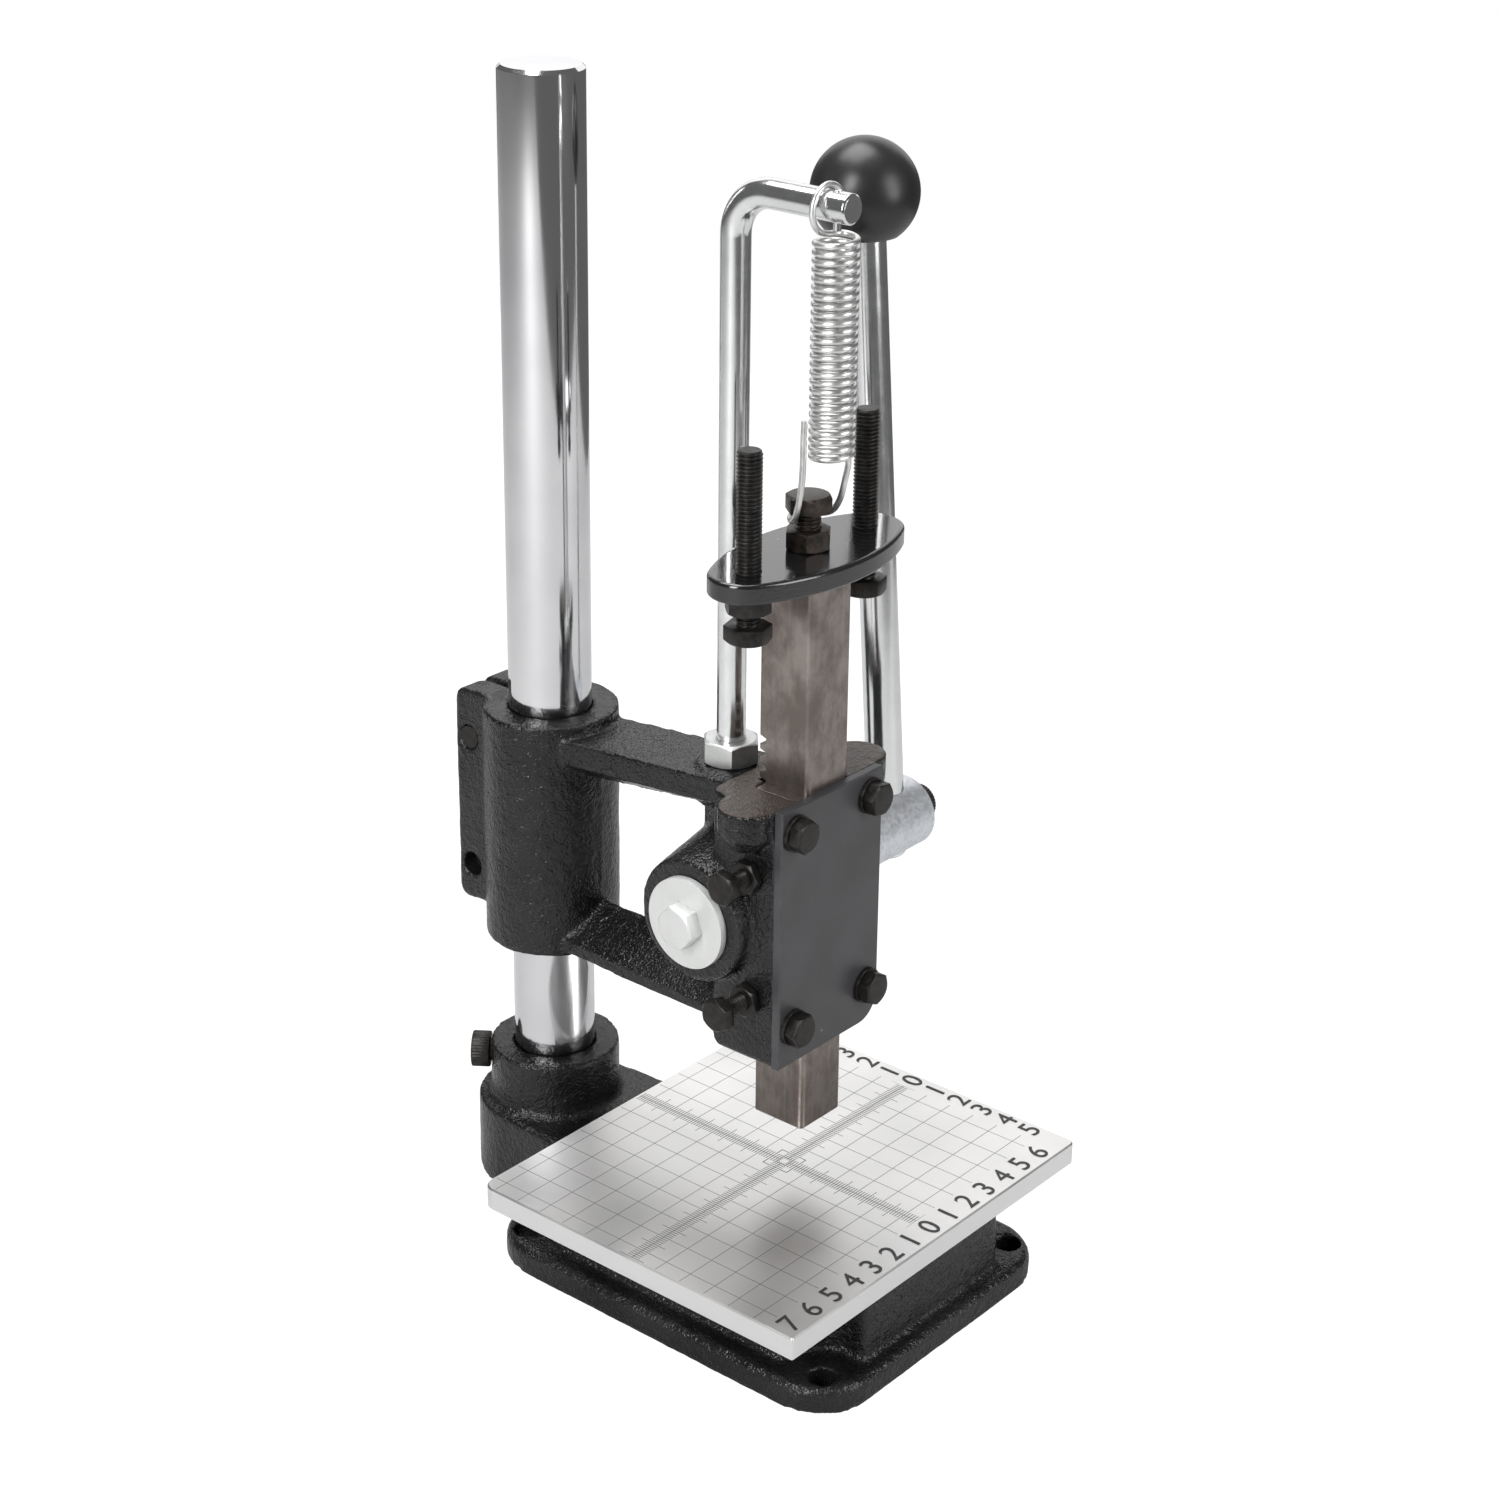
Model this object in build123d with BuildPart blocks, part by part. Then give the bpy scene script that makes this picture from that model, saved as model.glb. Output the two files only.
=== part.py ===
from build123d import *
from math import acos, atan, cos, degrees, pi, radians, sin, sqrt, tan
import os

# Lever hole punch: bench press with a rack and pinion, on a round column.
# Millimetres, +Z up, front towards -Y. Origin: centre of the foot's bolt pattern, on its underside.

# Base casting
foot_x = 120
foot_y = 151
foot_h = 9.5
foot_r = 20
bolt_x = 99
bolt_y = 128
bolt_hole_r = 4.5
ped_x = 104
ped_y = 138.5
ped_cy = -0.75
ped_top = 33
pocket_r = 13.5
cavity_top = 24
wall = 8
boss_r = 27
boss_h = 29.3
collar_r = 22.5
collar_h = 49.5
neck_w = 57
socket_floor = 6
set_z = 43.5
set_angle = 127
set_head_r = 6.3
set_head_h = 6.4

# Column
col_y = 98
col_r = 14
col_top = 392
col_fit = 0.05

# Platen
pl_x = 150
pl_y = 132
pl_h = 8
pl_cx = -1
pl_cy = -7.2
pl_back_r = 5
pl_right_r = 2.5
pscrew_x = 36
pscrew_y = 36
pscrew_r = 3
pscrew_head_r = 5
pscrew_head_h = 6
pscrew_grip = 5.5

# Head casting: sleeve, ears, arms
reach = 110
sleeve_r = 23
sleeve_z0 = 92.5
sleeve_z1 = 177
ear_x = 12
ear_y = 131.5
ear_z0 = 98.8
ear_z1 = 178
slit = 3
clamp_y = 125.5
clamp_z = (112, 160)
clamp_tip = (6, 0.5)
clamp_r = 4
clamp_head_r = 6.5
clamp_head_h = 8
flange_x = 14
top_edge = 8.5
top_z_col = 171
top_z_box = 180
top_ridge_dip_col = 17.7
top_ridge_dip_box = 15.2
low_z_col = 94.5
low_z_box = 93.2
low_edge_col = 6
low_edge_box = 3.2
low_ridge = 110.7
back_ridge_y = 31.5
back_ridge_x = 15

# Head casting: housing
ax_y = col_y - reach
ram_w = 20
ram_z0 = 63
ram_top = 252.5
slide_gap = 0.03
gib_t = 5
gib_back = 17
wall_l = 11
wall_r = 14
hous_z0 = 93
hous_z1 = 182.2
hous_back = 5
front_y = ax_y - ram_w / 2 - slide_gap
cover_t = 3
hous_l = ram_w / 2 + gib_t + wall_l
hous_r = ram_w / 2 + wall_r
pad_x = 27
pad_r = 9.5
pad_h = 9
pad_root = 6
cover_bolt_x = (-19.5, 17.5)
cover_bolt_z = (106.5, 174)
cover_bolt_in = 7.4
cover_head = 4.2
washer_r = 6
washer_t = 1.4
gib_bolt_z = (114.6, 157.6)
gib_bolt_len = (23.3, 21.1)
lock_nut_h = 3.2
rod_y = 18
rod_boss_r = 11
rod_boss_z = 166
rod_seat_z = 179.5
rod_grip = 16

# Rack and pinion: 15 teeth of module 1.5, tips turned down to the shaft
press_angle = radians(20)
mod = 1.5
teeth = 15
pitch_r = mod * teeth / 2
shaft_r = 12.5
rack_tip = 1.25
axle_y = ax_y + ram_w / 2 - rack_tip + pitch_r
axle_z = 137
root_gap = 0.3
backlash = 0.24
tooth_x = 10.5
rack_n = 17
shaft_fit = 0.05
axle_boss_r = 20.5
axle_boss_mid_r = 26
axle_l = 31
axle_boss_rx = 29
end_float = 0.2
hub_x = 82
lever_x = 70
axle_washer_r = 15.2
axle_washer_t = 2.5
axle_grip = 16

# Lever
lever_r = 6.35
lever_lean = 4.25
lever_len = 215.2
knob_r = 17.75
knob_cut = 14.5

# Cap plate, bolts and nuts (M8 unless named)
cap_t = 6.5
cap_l = 41
cap_w = 19
cap_end = 11.5
m8_r = 4
m8_af = 13
m6_r = 3
m6_af = 10
m6_head = 4
thread_gap = 0.05
hole_gap = 0.4
key_af = 6
stop_x = 28
stop_z0 = 236.7
stop_len = 60.3
stop_head = 5.3
nut_h = 6.5
cap_neck = 12
cap_grip = 15
tool_r = 5
tool_deep = 25
tool_screw_z = 71

# Hook rod and spring
hook_r = 4.7
hook_bend = 14.5
hook_top = 366
hook_end_y = -26.4
pin_y = -20.6
pin_r = 1.25
rod_nut_af = 17
rod_nut_h = 8
wire_r = 1
loop_r = 7.2
loop_y = -17
coil_r = 6.2
coil_y = -20
coil_x = 0.5
coil_top = 356.6
coil_pitch = 2.6
coil_n = 26
leg_x = 8.8

eps = 0.02


# ---------------------------------------------------------------- base
with BuildPart() as base_casting:
    # foot with a rounded top edge
    with BuildSketch():
        RectangleRounded(foot_x, foot_y, foot_r)
    extrude(amount=foot_h)
    fillet(base_casting.edges().group_by(Axis.Z)[-1], 3)
    # pedestal, hollowed at the corners round the bolt holes, and the neck to the boss
    with BuildSketch(Plane.XY.offset(foot_h - 1)) as ped:
        with Locations((0, ped_cy)):
            Rectangle(ped_x, ped_y)
        with GridLocations(bolt_x, bolt_y, 2, 2):
            Circle(pocket_r, mode=Mode.SUBTRACT)
        fillet(ped.vertices(), 2.5)
    extrude(amount=ped_top - foot_h + 1, taper=1.2)
    ped_back = ped_cy + ped_y / 2
    with BuildSketch() as neck:
        with BuildLine():
            Polyline(
                (-neck_w / 2 - 5, ped_back - 3),
                (neck_w / 2 + 5, ped_back - 3),
                (neck_w / 2, ped_back + 4),
                (boss_r, col_y),
                (-boss_r, col_y),
                (-neck_w / 2, ped_back + 4),
                close=True,
            )
        make_face()
    extrude(amount=boss_h)
    # column boss: wide foot and narrower collar
    with BuildSketch() as boss_foot:
        with Locations((0, col_y)):
            Circle(boss_r)
    extrude(amount=boss_h)
    with BuildSketch(Plane.XY.offset(boss_h - 1)) as collar:
        with Locations((0, col_y)):
            Circle(collar_r)
    extrude(amount=collar_h - boss_h + 1)
    # cavity under the pedestal
    with BuildSketch() as cavity:
        with Locations((0, ped_cy)):
            Rectangle(ped_x - 2 * wall, ped_y - 2 * wall)
        with GridLocations(bolt_x, bolt_y, 2, 2):
            Circle(pocket_r + wall, mode=Mode.SUBTRACT)
        fillet(cavity.vertices(), 4)
    extrude(amount=cavity_top, mode=Mode.SUBTRACT)
    # column socket, foot bolt holes, screw holes under the platen
    with BuildSketch(Plane.XY.offset(socket_floor)):
        with Locations((0, col_y)):
            Circle(col_r + col_fit)
    extrude(amount=collar_h, mode=Mode.SUBTRACT)
    with BuildSketch():
        with GridLocations(bolt_x, bolt_y, 2, 2):
            Circle(bolt_hole_r)
    extrude(amount=ped_top + 20, mode=Mode.SUBTRACT)
    with BuildSketch():
        with GridLocations(2 * pscrew_x, 2 * pscrew_y, 2, 2):
            Circle(pscrew_r + hole_gap)
    extrude(amount=ped_top + 1, mode=Mode.SUBTRACT)
    # tapped cross hole for the set screw, at the back left
    set_dir = Vector(cos(radians(set_angle)), sin(radians(set_angle)), 0)
    with BuildSketch(Plane(origin=(0, col_y, set_z), z_dir=set_dir)):
        Circle(m8_r + thread_gap)
    extrude(amount=boss_r + 5, mode=Mode.SUBTRACT)

set_at = Vector(0, col_y, set_z)
set_head = collar_r + 0.3
with BuildPart() as column_set_screw:
    with BuildSketch(Plane(set_at + set_dir * (col_r + col_fit), z_dir=set_dir)):
        Circle(m8_r)
    extrude(amount=set_head - col_r)
    with BuildSketch(Plane(set_at + set_dir * set_head, z_dir=set_dir)):
        Circle(set_head_r)
    extrude(amount=set_head_h)
    chamfer(column_set_screw.faces().sort_by(SortBy.DISTANCE)[-1].edges(), 0.6)
    with BuildSketch(Plane(set_at + set_dir * (set_head + set_head_h), z_dir=set_dir)):
        RegularPolygon(key_af / 2, 6, major_radius=False)
    extrude(amount=-4, mode=Mode.SUBTRACT)

with BuildPart() as platen:
    with BuildSketch(Plane.XY.offset(ped_top)) as pl:
        with Locations((pl_cx, pl_cy)):
            Rectangle(pl_x, pl_y)
        fillet(pl.vertices().group_by(Axis.Y)[-1], pl_back_r)
        fillet(pl.vertices().group_by(Axis.Y)[0].sort_by(Axis.X)[-1], pl_right_r)
        fillet(pl.vertices().group_by(Axis.Y)[0].sort_by(Axis.X)[0], 0.8)
    extrude(amount=pl_h)
    chamfer(platen.edges().group_by(Axis.Z)[-1], 0.5)
    chamfer(platen.edges().group_by(Axis.Z)[0], 0.5)
    with BuildSketch(Plane.XY.offset(ped_top)):
        with GridLocations(2 * pscrew_x, 2 * pscrew_y, 2, 2):
            Circle(pscrew_r + thread_gap)
    extrude(amount=pscrew_grip + 0.5, mode=Mode.SUBTRACT)

with BuildPart() as platen_screws:
    with BuildSketch(Plane.XY.offset(cavity_top - pscrew_head_h)):
        with GridLocations(2 * pscrew_x, 2 * pscrew_y, 2, 2):
            Circle(pscrew_head_r)
    extrude(amount=pscrew_head_h)
    with BuildSketch(Plane.XY.offset(cavity_top - pscrew_head_h)):
        with GridLocations(2 * pscrew_x, 2 * pscrew_y, 2, 2):
            RegularPolygon(2.5, 6, major_radius=False)
    extrude(amount=3, mode=Mode.SUBTRACT)
    with BuildSketch(Plane.XY.offset(cavity_top - 1)):
        with GridLocations(2 * pscrew_x, 2 * pscrew_y, 2, 2):
            Circle(pscrew_r)
    extrude(amount=ped_top - cavity_top + 1 + pscrew_grip)

with BuildPart() as column:
    with BuildSketch(Plane.XY.offset(socket_floor)):
        with Locations((0, col_y)):
            Circle(col_r)
    extrude(amount=col_top - socket_floor)
    chamfer(column.edges().group_by(Axis.Z)[-1], 1.2)
    chamfer(column.edges().group_by(Axis.Z)[0], 1)

# ---------------------------------------------------------------- head casting
arm_l = ax_y + ram_w / 2 + 2
with BuildPart() as head_casting:
    # sleeve and clamp ears
    with BuildSketch(Plane.XY.offset(sleeve_z0)):
        with Locations((0, col_y)):
            Circle(sleeve_r)
    extrude(amount=sleeve_z1 - sleeve_z0)
    with BuildSketch(Plane.YZ.offset(-ear_x)) as ears:
        with BuildLine():
            Polyline(
                (col_y + 4, ear_z0 + 1.5),
                (ear_y, ear_z0),
                (ear_y, ear_z1 - 1),
                (ear_y - 8, ear_z1),
                (col_y + 18, ear_z1),
                (col_y + 4, ear_z1 - 4),
                close=True,
            )
        make_face()
        fillet(ears.vertices().group_by(Axis.X)[-1], 4)
    extrude(amount=2 * ear_x)
    # arms, wedge-shaped towards the window, with a ridge on the middle plane
    with BuildSketch(Plane.XZ.offset(-col_y)):
        Polygon(
            (-flange_x, top_z_col),
            (-flange_x, top_z_col - top_edge),
            (0, top_z_col - top_ridge_dip_col),
            (flange_x, top_z_col - top_edge),
            (flange_x, top_z_col),
            align=None,
        )
    with BuildSketch(Plane.XZ.offset(-arm_l)):
        Polygon(
            (-flange_x, top_z_box),
            (-flange_x, top_z_box - top_edge),
            (0, top_z_box - top_ridge_dip_box),
            (flange_x, top_z_box - top_edge),
            (flange_x, top_z_box),
            align=None,
        )
    loft()
    with BuildSketch(Plane.XZ.offset(-col_y)):
        Polygon(
            (-flange_x, low_z_col),
            (flange_x, low_z_col),
            (flange_x, low_z_col + low_edge_col),
            (0, low_ridge),
            (-flange_x, low_z_col + low_edge_col),
            align=None,
        )
    with BuildSketch(Plane.XZ.offset(-arm_l)):
        Polygon(
            (-flange_x, low_z_box),
            (flange_x, low_z_box),
            (flange_x, low_z_box + low_edge_box),
            (0, low_ridge),
            (-flange_x, low_z_box + low_edge_box),
            align=None,
        )
    loft()
    # ridge of the same kind up the housing's back
    with BuildSketch(Plane.XY.offset(low_z_col + low_edge_col)) as back_ridge:
        Polygon(
            (-back_ridge_x, hous_back - 2),
            (0, back_ridge_y),
            (back_ridge_x, hous_back - 2),
            align=None,
        )
        fillet(back_ridge.vertices().sort_by(Axis.Y)[-1], 3)
    extrude(amount=top_z_box - top_ridge_dip_box - low_z_col - low_edge_col + 3)
    # housing with rounded back corners and a chamfered lower back edge
    with BuildSketch(Plane.XY.offset(hous_z0)) as block:
        with BuildLine():
            Polyline(
                (-hous_l, front_y),
                (hous_r, front_y),
                (hous_r, hous_back),
                (-hous_l, hous_back),
                close=True,
            )
        make_face()
        fillet(block.vertices().group_by(Axis.Y)[-1], 5)
    extrude(amount=hous_z1 - hous_z0)
    with BuildSketch(Plane.YZ.offset(-hous_l - 1)):
        with BuildLine():
            Polyline(
                (hous_back - 4, hous_z0 - 0.1),
                (hous_back + 0.1, hous_z0 - 0.1),
                (hous_back + 0.1, hous_z0 + 4),
                close=True,
            )
        make_face()
    extrude(amount=hous_l + 1 - flange_x, mode=Mode.SUBTRACT)
    # pads for the stop bolts, tapering into the side walls
    with BuildSketch(Plane.XY.offset(hous_z1)) as pads:
        with Locations((-pad_x, ax_y), (pad_x, ax_y)):
            Circle(pad_r)
    extrude(amount=-pad_h)
    with BuildSketch(Plane.XY.offset(hous_z1 - pad_h)) as pad_roots:
        with Locations((-pad_x, ax_y), (pad_x, ax_y)):
            Circle(pad_r)
    extrude(amount=-pad_root, taper=40)
    # axle boss, through from side to side, tapering towards its two ends
    left_l = axle_l - end_float
    right_l = axle_boss_rx - end_float
    boss_fall = axle_boss_mid_r - axle_boss_r
    with BuildSketch(Plane.YZ):
        with Locations((axle_y, axle_z)):
            Circle(axle_boss_mid_r)
    extrude(amount=right_l, taper=degrees(atan(boss_fall / right_l)))
    with BuildSketch(Plane.YZ):
        with Locations((axle_y, axle_z)):
            Circle(axle_boss_mid_r)
    extrude(amount=-left_l, taper=degrees(atan(boss_fall / left_l)))
    # upright boss for the hook rod, behind the ram
    with BuildSketch(Plane.XY.offset(rod_boss_z)):
        with Locations((0, rod_y)):
            Circle(rod_boss_r)
    extrude(amount=rod_seat_z - rod_boss_z)

    # bore of the sleeve, slit of the ears
    with BuildSketch(Plane.XY.offset(sleeve_z0 - 1)):
        with Locations((0, col_y)):
            Circle(col_r + col_fit)
    extrude(amount=sleeve_z1 - sleeve_z0 + 8, mode=Mode.SUBTRACT)
    with BuildSketch(Plane.XY.offset(sleeve_z0 - 1)):
        with Locations((0, (col_y + ear_y) / 2 + 1)):
            Rectangle(slit, ear_y - col_y + 2)
    extrude(amount=sleeve_z1 - sleeve_z0 + 8, mode=Mode.SUBTRACT)
    # slot for the ram and, beside it, the gib's recess
    with BuildSketch(Plane.XY.offset(hous_z0 - 1)):
        with BuildLine():
            Polyline(
                (-ram_w / 2 - gib_t - 2 * slide_gap, front_y - 1),
                (ram_w / 2 + slide_gap, front_y - 1),
                (ram_w / 2 + slide_gap, ax_y + ram_w / 2 + slide_gap),
                (-ram_w / 2 - slide_gap, ax_y + ram_w / 2 + slide_gap),
                (-ram_w / 2 - slide_gap, front_y + gib_back + 0.3),
                (-ram_w / 2 - gib_t - 2 * slide_gap, front_y + gib_back + 0.3),
                close=True,
            )
        make_face()
    extrude(amount=hous_z1 - hous_z0 + 10, mode=Mode.SUBTRACT)
    # pinion bore
    with BuildSketch(Plane.YZ.offset(-axle_l - 1)):
        with Locations((axle_y, axle_z)):
            Circle(shaft_r + shaft_fit)
    extrude(amount=axle_l + axle_boss_rx + 2, mode=Mode.SUBTRACT)
    # tapped holes: cover bolts, gib bolts, hook rod; clamp bolts through both ears
    with BuildSketch(Plane.XZ.offset(-front_y)):
        with Locations(*[(x, z) for x in cover_bolt_x for z in cover_bolt_z]):
            Circle(m6_r + thread_gap)
    extrude(amount=-cover_bolt_in - 0.4, mode=Mode.SUBTRACT)
    with BuildSketch(Plane.YZ.offset(-hous_l - 1)):
        with Locations(*[(ax_y, z) for z in gib_bolt_z]):
            Circle(m6_r + thread_gap)
    extrude(amount=wall_l + 2, mode=Mode.SUBTRACT)
    with BuildSketch(Plane.XY.offset(rod_seat_z + 2)):
        with Locations((0, rod_y)):
            Circle(hook_r + thread_gap)
    extrude(amount=-rod_grip - 3, mode=Mode.SUBTRACT)
    with BuildSketch(Plane.YZ.offset(-ear_x - 1)):
        with Locations(*[(clamp_y, z) for z in clamp_z]):
            Circle(clamp_r + thread_gap)
    extrude(amount=2 * ear_x + 2, mode=Mode.SUBTRACT)

with BuildPart() as clamp_bolts:
    for z, tip in zip(clamp_z, clamp_tip):
        with BuildSketch(Plane.YZ.offset(ear_x)):
            with Locations((clamp_y, z)):
                Circle(clamp_head_r)
        extrude(amount=clamp_head_h)
        with BuildSketch(Plane.YZ.offset(ear_x + clamp_head_h)):
            with Locations((clamp_y, z)):
                RegularPolygon(key_af / 2, 6, major_radius=False)
        extrude(amount=-5, mode=Mode.SUBTRACT)
        with BuildSketch(Plane.YZ.offset(-ear_x + tip)):
            with Locations((clamp_y, z)):
                Circle(clamp_r)
        extrude(amount=2 * ear_x - tip)

with BuildPart() as front_cover:
    with BuildSketch(Plane.XZ.offset(-front_y + eps)) as cov:
        with BuildLine():
            Polyline(
                (-hous_l, hous_z0),
                (hous_r, hous_z0),
                (hous_r, hous_z1),
                (-hous_l, hous_z1),
                close=True,
            )
        make_face()
        fillet(cov.vertices().group_by(Axis.X)[-1].sort_by(Axis.Y)[0], 9)
        with Locations(*[(x, z) for x in cover_bolt_x for z in cover_bolt_z]):
            Circle(m6_r + hole_gap, mode=Mode.SUBTRACT)
    extrude(amount=cover_t)
    chamfer(front_cover.faces().sort_by(Axis.Y)[0].outer_wire().edges(), 0.4)
cover_front = -front_y + eps + cover_t

with BuildPart() as cover_washers:
    with BuildSketch(Plane.XZ.offset(cover_front + eps)):
        with Locations(*[(x, z) for x in cover_bolt_x for z in cover_bolt_z]):
            Circle(washer_r)
            Circle(m6_r + hole_gap, mode=Mode.SUBTRACT)
    extrude(amount=washer_t)

with BuildPart() as cover_bolts:
    with BuildSketch(Plane.XZ.offset(cover_front + 2 * eps + washer_t)):
        with Locations(*[(x, z) for x in cover_bolt_x for z in cover_bolt_z]):
            RegularPolygon(m6_af / 2, 6, rotation=30, major_radius=False)
    extrude(amount=cover_head)
    with BuildSketch(Plane.XZ.offset(-front_y - cover_bolt_in)):
        with Locations(*[(x, z) for x in cover_bolt_x for z in cover_bolt_z]):
            Circle(m6_r)
    extrude(amount=cover_bolt_in + cover_t + washer_t + 0.6 + 3 * eps)

with BuildPart() as gib:
    with BuildSketch(Plane.XY.offset(hous_z0 + 0.5)):
        with Locations((-ram_w / 2 - gib_t / 2 - slide_gap, front_y + gib_back / 2)):
            Rectangle(gib_t - slide_gap, gib_back - 0.1)
    extrude(amount=hous_z1 - hous_z0 - 1)
gib_x = -ram_w / 2 - gib_t

with BuildPart() as gib_bolts:
    for z, length in zip(gib_bolt_z, gib_bolt_len):
        with BuildSketch(Plane.YZ.offset(gib_x - eps)):
            with Locations((ax_y, z)):
                Circle(m6_r)
        extrude(amount=-length)
        with BuildSketch(Plane.YZ.offset(gib_x - length)):
            with Locations((ax_y, z)):
                RegularPolygon(m6_af / 2, 6, rotation=18, major_radius=False)
        extrude(amount=-m6_head)

with BuildPart() as gib_lock_nuts:
    with BuildSketch(Plane.YZ.offset(-hous_l - eps)):
        with Locations(*[(ax_y, z) for z in gib_bolt_z]):
            RegularPolygon(m6_af / 2, 6, rotation=8, major_radius=False)
            Circle(m6_r + thread_gap, mode=Mode.SUBTRACT)
    extrude(amount=-lock_nut_h)

# ---------------------------------------------------------------- hook rod
with BuildPart() as hook_rod:
    with BuildLine():
        Line((0, rod_y, rod_seat_z - rod_grip), (0, rod_y, hook_top - hook_bend))
        TangentArc(
            (0, rod_y, hook_top - hook_bend),
            (0, rod_y - hook_bend, hook_top),
            tangent=(0, 0, 1),
        )
        Line((0, rod_y - hook_bend, hook_top), (0, hook_end_y, hook_top))
    with BuildSketch(Plane.XY.offset(rod_seat_z - rod_grip)):
        with Locations((0, rod_y)):
            Circle(hook_r)
    sweep()
    chamfer(hook_rod.faces().sort_by(Axis.Y)[0].edges(), 0.6)
    # cross hole for the pin
    with BuildSketch(Plane.XY.offset(hook_top - hook_r - 1)):
        with Locations((0, pin_y)):
            Circle(pin_r + thread_gap)
    extrude(amount=2 * hook_r + 2, mode=Mode.SUBTRACT)

with BuildPart() as hook_pin:
    with BuildSketch(Plane.XY.offset(hook_top - hook_r - 2.4)):
        with Locations((0, pin_y)):
            Circle(pin_r)
    extrude(amount=2 * hook_r + 2.6)

with BuildPart() as hook_rod_nut:
    with BuildSketch(Plane.XY.offset(rod_seat_z + eps)):
        with Locations((0, rod_y)):
            RegularPolygon(rod_nut_af / 2, 6, rotation=12, major_radius=False)
            Circle(hook_r + thread_gap, mode=Mode.SUBTRACT)
    extrude(amount=rod_nut_h)

# ---------------------------------------------------------------- pinion shaft and lever
base_r = pitch_r * cos(press_angle)
root_r = pitch_r - rack_tip - root_gap
half_p = pi / (2 * teeth) - backlash / 4 / pitch_r


def flank(r):
    # half angle of a tooth at radius r, involute flanks
    a = acos(min(1, base_r / r))
    return half_p + tan(press_angle) - press_angle - (tan(a) - a)


with BuildPart() as pinion_shaft:
    with BuildSketch(Plane.YZ.offset(-axle_l)):
        with Locations((axle_y, axle_z)):
            Circle(shaft_r)
    extrude(amount=axle_l + hub_x)
    chamfer(pinion_shaft.edges().group_by(Axis.X)[-1], 1)
    # gaps between the teeth; one gap faces the rack when the lever is up
    gap_pts = []
    for r in (root_r, base_r, pitch_r, 12, shaft_r + 0.4):
        g = pi / teeth - flank(max(r, base_r))
        gap_pts.append((r * cos(g), r * sin(g)))
    low_pts = [(x, -y) for x, y in reversed(gap_pts)]
    with BuildSketch(Plane.YZ.offset(-tooth_x)) as gaps:
        with Locations((axle_y, axle_z)):
            with PolarLocations(0, teeth, start_angle=180):
                Polygon(*low_pts, *gap_pts, align=None)
    extrude(amount=2 * tooth_x, mode=Mode.SUBTRACT)
    # cross hole for the lever rod, tapped holes in both ends
    lean = radians(lever_lean)
    lev_dir = Vector(0, sin(lean), cos(lean))
    axle_pt = Vector(lever_x, axle_y, axle_z)
    with BuildSketch(Plane(axle_pt - lev_dir * 20, x_dir=(1, 0, 0), z_dir=lev_dir)):
        Circle(lever_r + thread_gap)
    extrude(amount=40, mode=Mode.SUBTRACT)
    with BuildSketch(Plane.YZ.offset(hub_x)):
        with Locations((axle_y, axle_z)):
            Circle(m8_r + thread_gap)
    extrude(amount=-(hub_x - lever_x), mode=Mode.SUBTRACT)
    with BuildSketch(Plane.YZ.offset(-axle_l)):
        with Locations((axle_y, axle_z)):
            Circle(m8_r + thread_gap)
    extrude(amount=axle_grip + 2, mode=Mode.SUBTRACT)

with BuildPart() as axle_washer:
    with BuildSketch(Plane.YZ.offset(-axle_l - eps)):
        with Locations((axle_y, axle_z)):
            Circle(axle_washer_r)
            Circle(m8_r + hole_gap, mode=Mode.SUBTRACT)
    extrude(amount=-axle_washer_t)

with BuildPart() as axle_bolt:
    with BuildSketch(Plane.YZ.offset(-axle_l - axle_washer_t - 2 * eps)):
        with Locations((axle_y, axle_z)):
            RegularPolygon(m8_af / 2, 6, rotation=20, major_radius=False)
    extrude(amount=-stop_head)
    with BuildSketch(Plane.YZ.offset(-axle_l - axle_washer_t - 0.5)):
        with Locations((axle_y, axle_z)):
            Circle(m8_r)
    extrude(amount=axle_washer_t + 0.5 + axle_grip)

with BuildPart() as lever_rod:
    with BuildSketch(Plane(axle_pt - lev_dir * (shaft_r - 0.2), x_dir=(1, 0, 0), z_dir=lev_dir)):
        Circle(lever_r)
    extrude(amount=shaft_r - 0.2 + lever_len)
    chamfer(lever_rod.edges().group_by(Axis.Z)[0], 0.6)

with BuildPart() as lever_lock_screw:
    with BuildSketch(Plane.YZ.offset(hub_x + eps)):
        with Locations((axle_y, axle_z)):
            Circle(clamp_head_r)
    extrude(amount=clamp_head_h)
    chamfer(lever_lock_screw.edges().group_by(Axis.X)[-1], 0.6)
    with BuildSketch(Plane.YZ.offset(hub_x + clamp_head_h)):
        with Locations((axle_y, axle_z)):
            RegularPolygon(key_af / 2, 6, major_radius=False)
    extrude(amount=-4.5, mode=Mode.SUBTRACT)
    with BuildSketch(Plane.YZ.offset(lever_x + lever_r + eps)):
        with Locations((axle_y, axle_z)):
            Circle(m8_r)
    extrude(amount=hub_x - lever_x - lever_r + 0.5)

knob_plane = Plane(axle_pt + lev_dir * lever_len, x_dir=(1, 0, 0), z_dir=lev_dir)
with BuildPart() as lever_knob:
    with BuildSketch(Plane(knob_plane.origin, x_dir=(1, 0, 0), z_dir=knob_plane.y_dir * -1)) as ball:
        with BuildLine():
            cut_a = acos(knob_cut / knob_r)
            p_cut = (knob_r * sin(cut_a), -knob_cut)
            ThreePointArc(p_cut, (knob_r, 0), (0, knob_r))
            Polyline((0, knob_r), (0, -knob_cut), p_cut)
        make_face()
    revolve(axis=Axis(knob_plane.origin, lev_dir), revolution_arc=360)
    with BuildSketch(knob_plane.offset(-knob_r)):
        Circle(lever_r + thread_gap)
    extrude(amount=knob_r + eps, mode=Mode.SUBTRACT)

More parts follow.
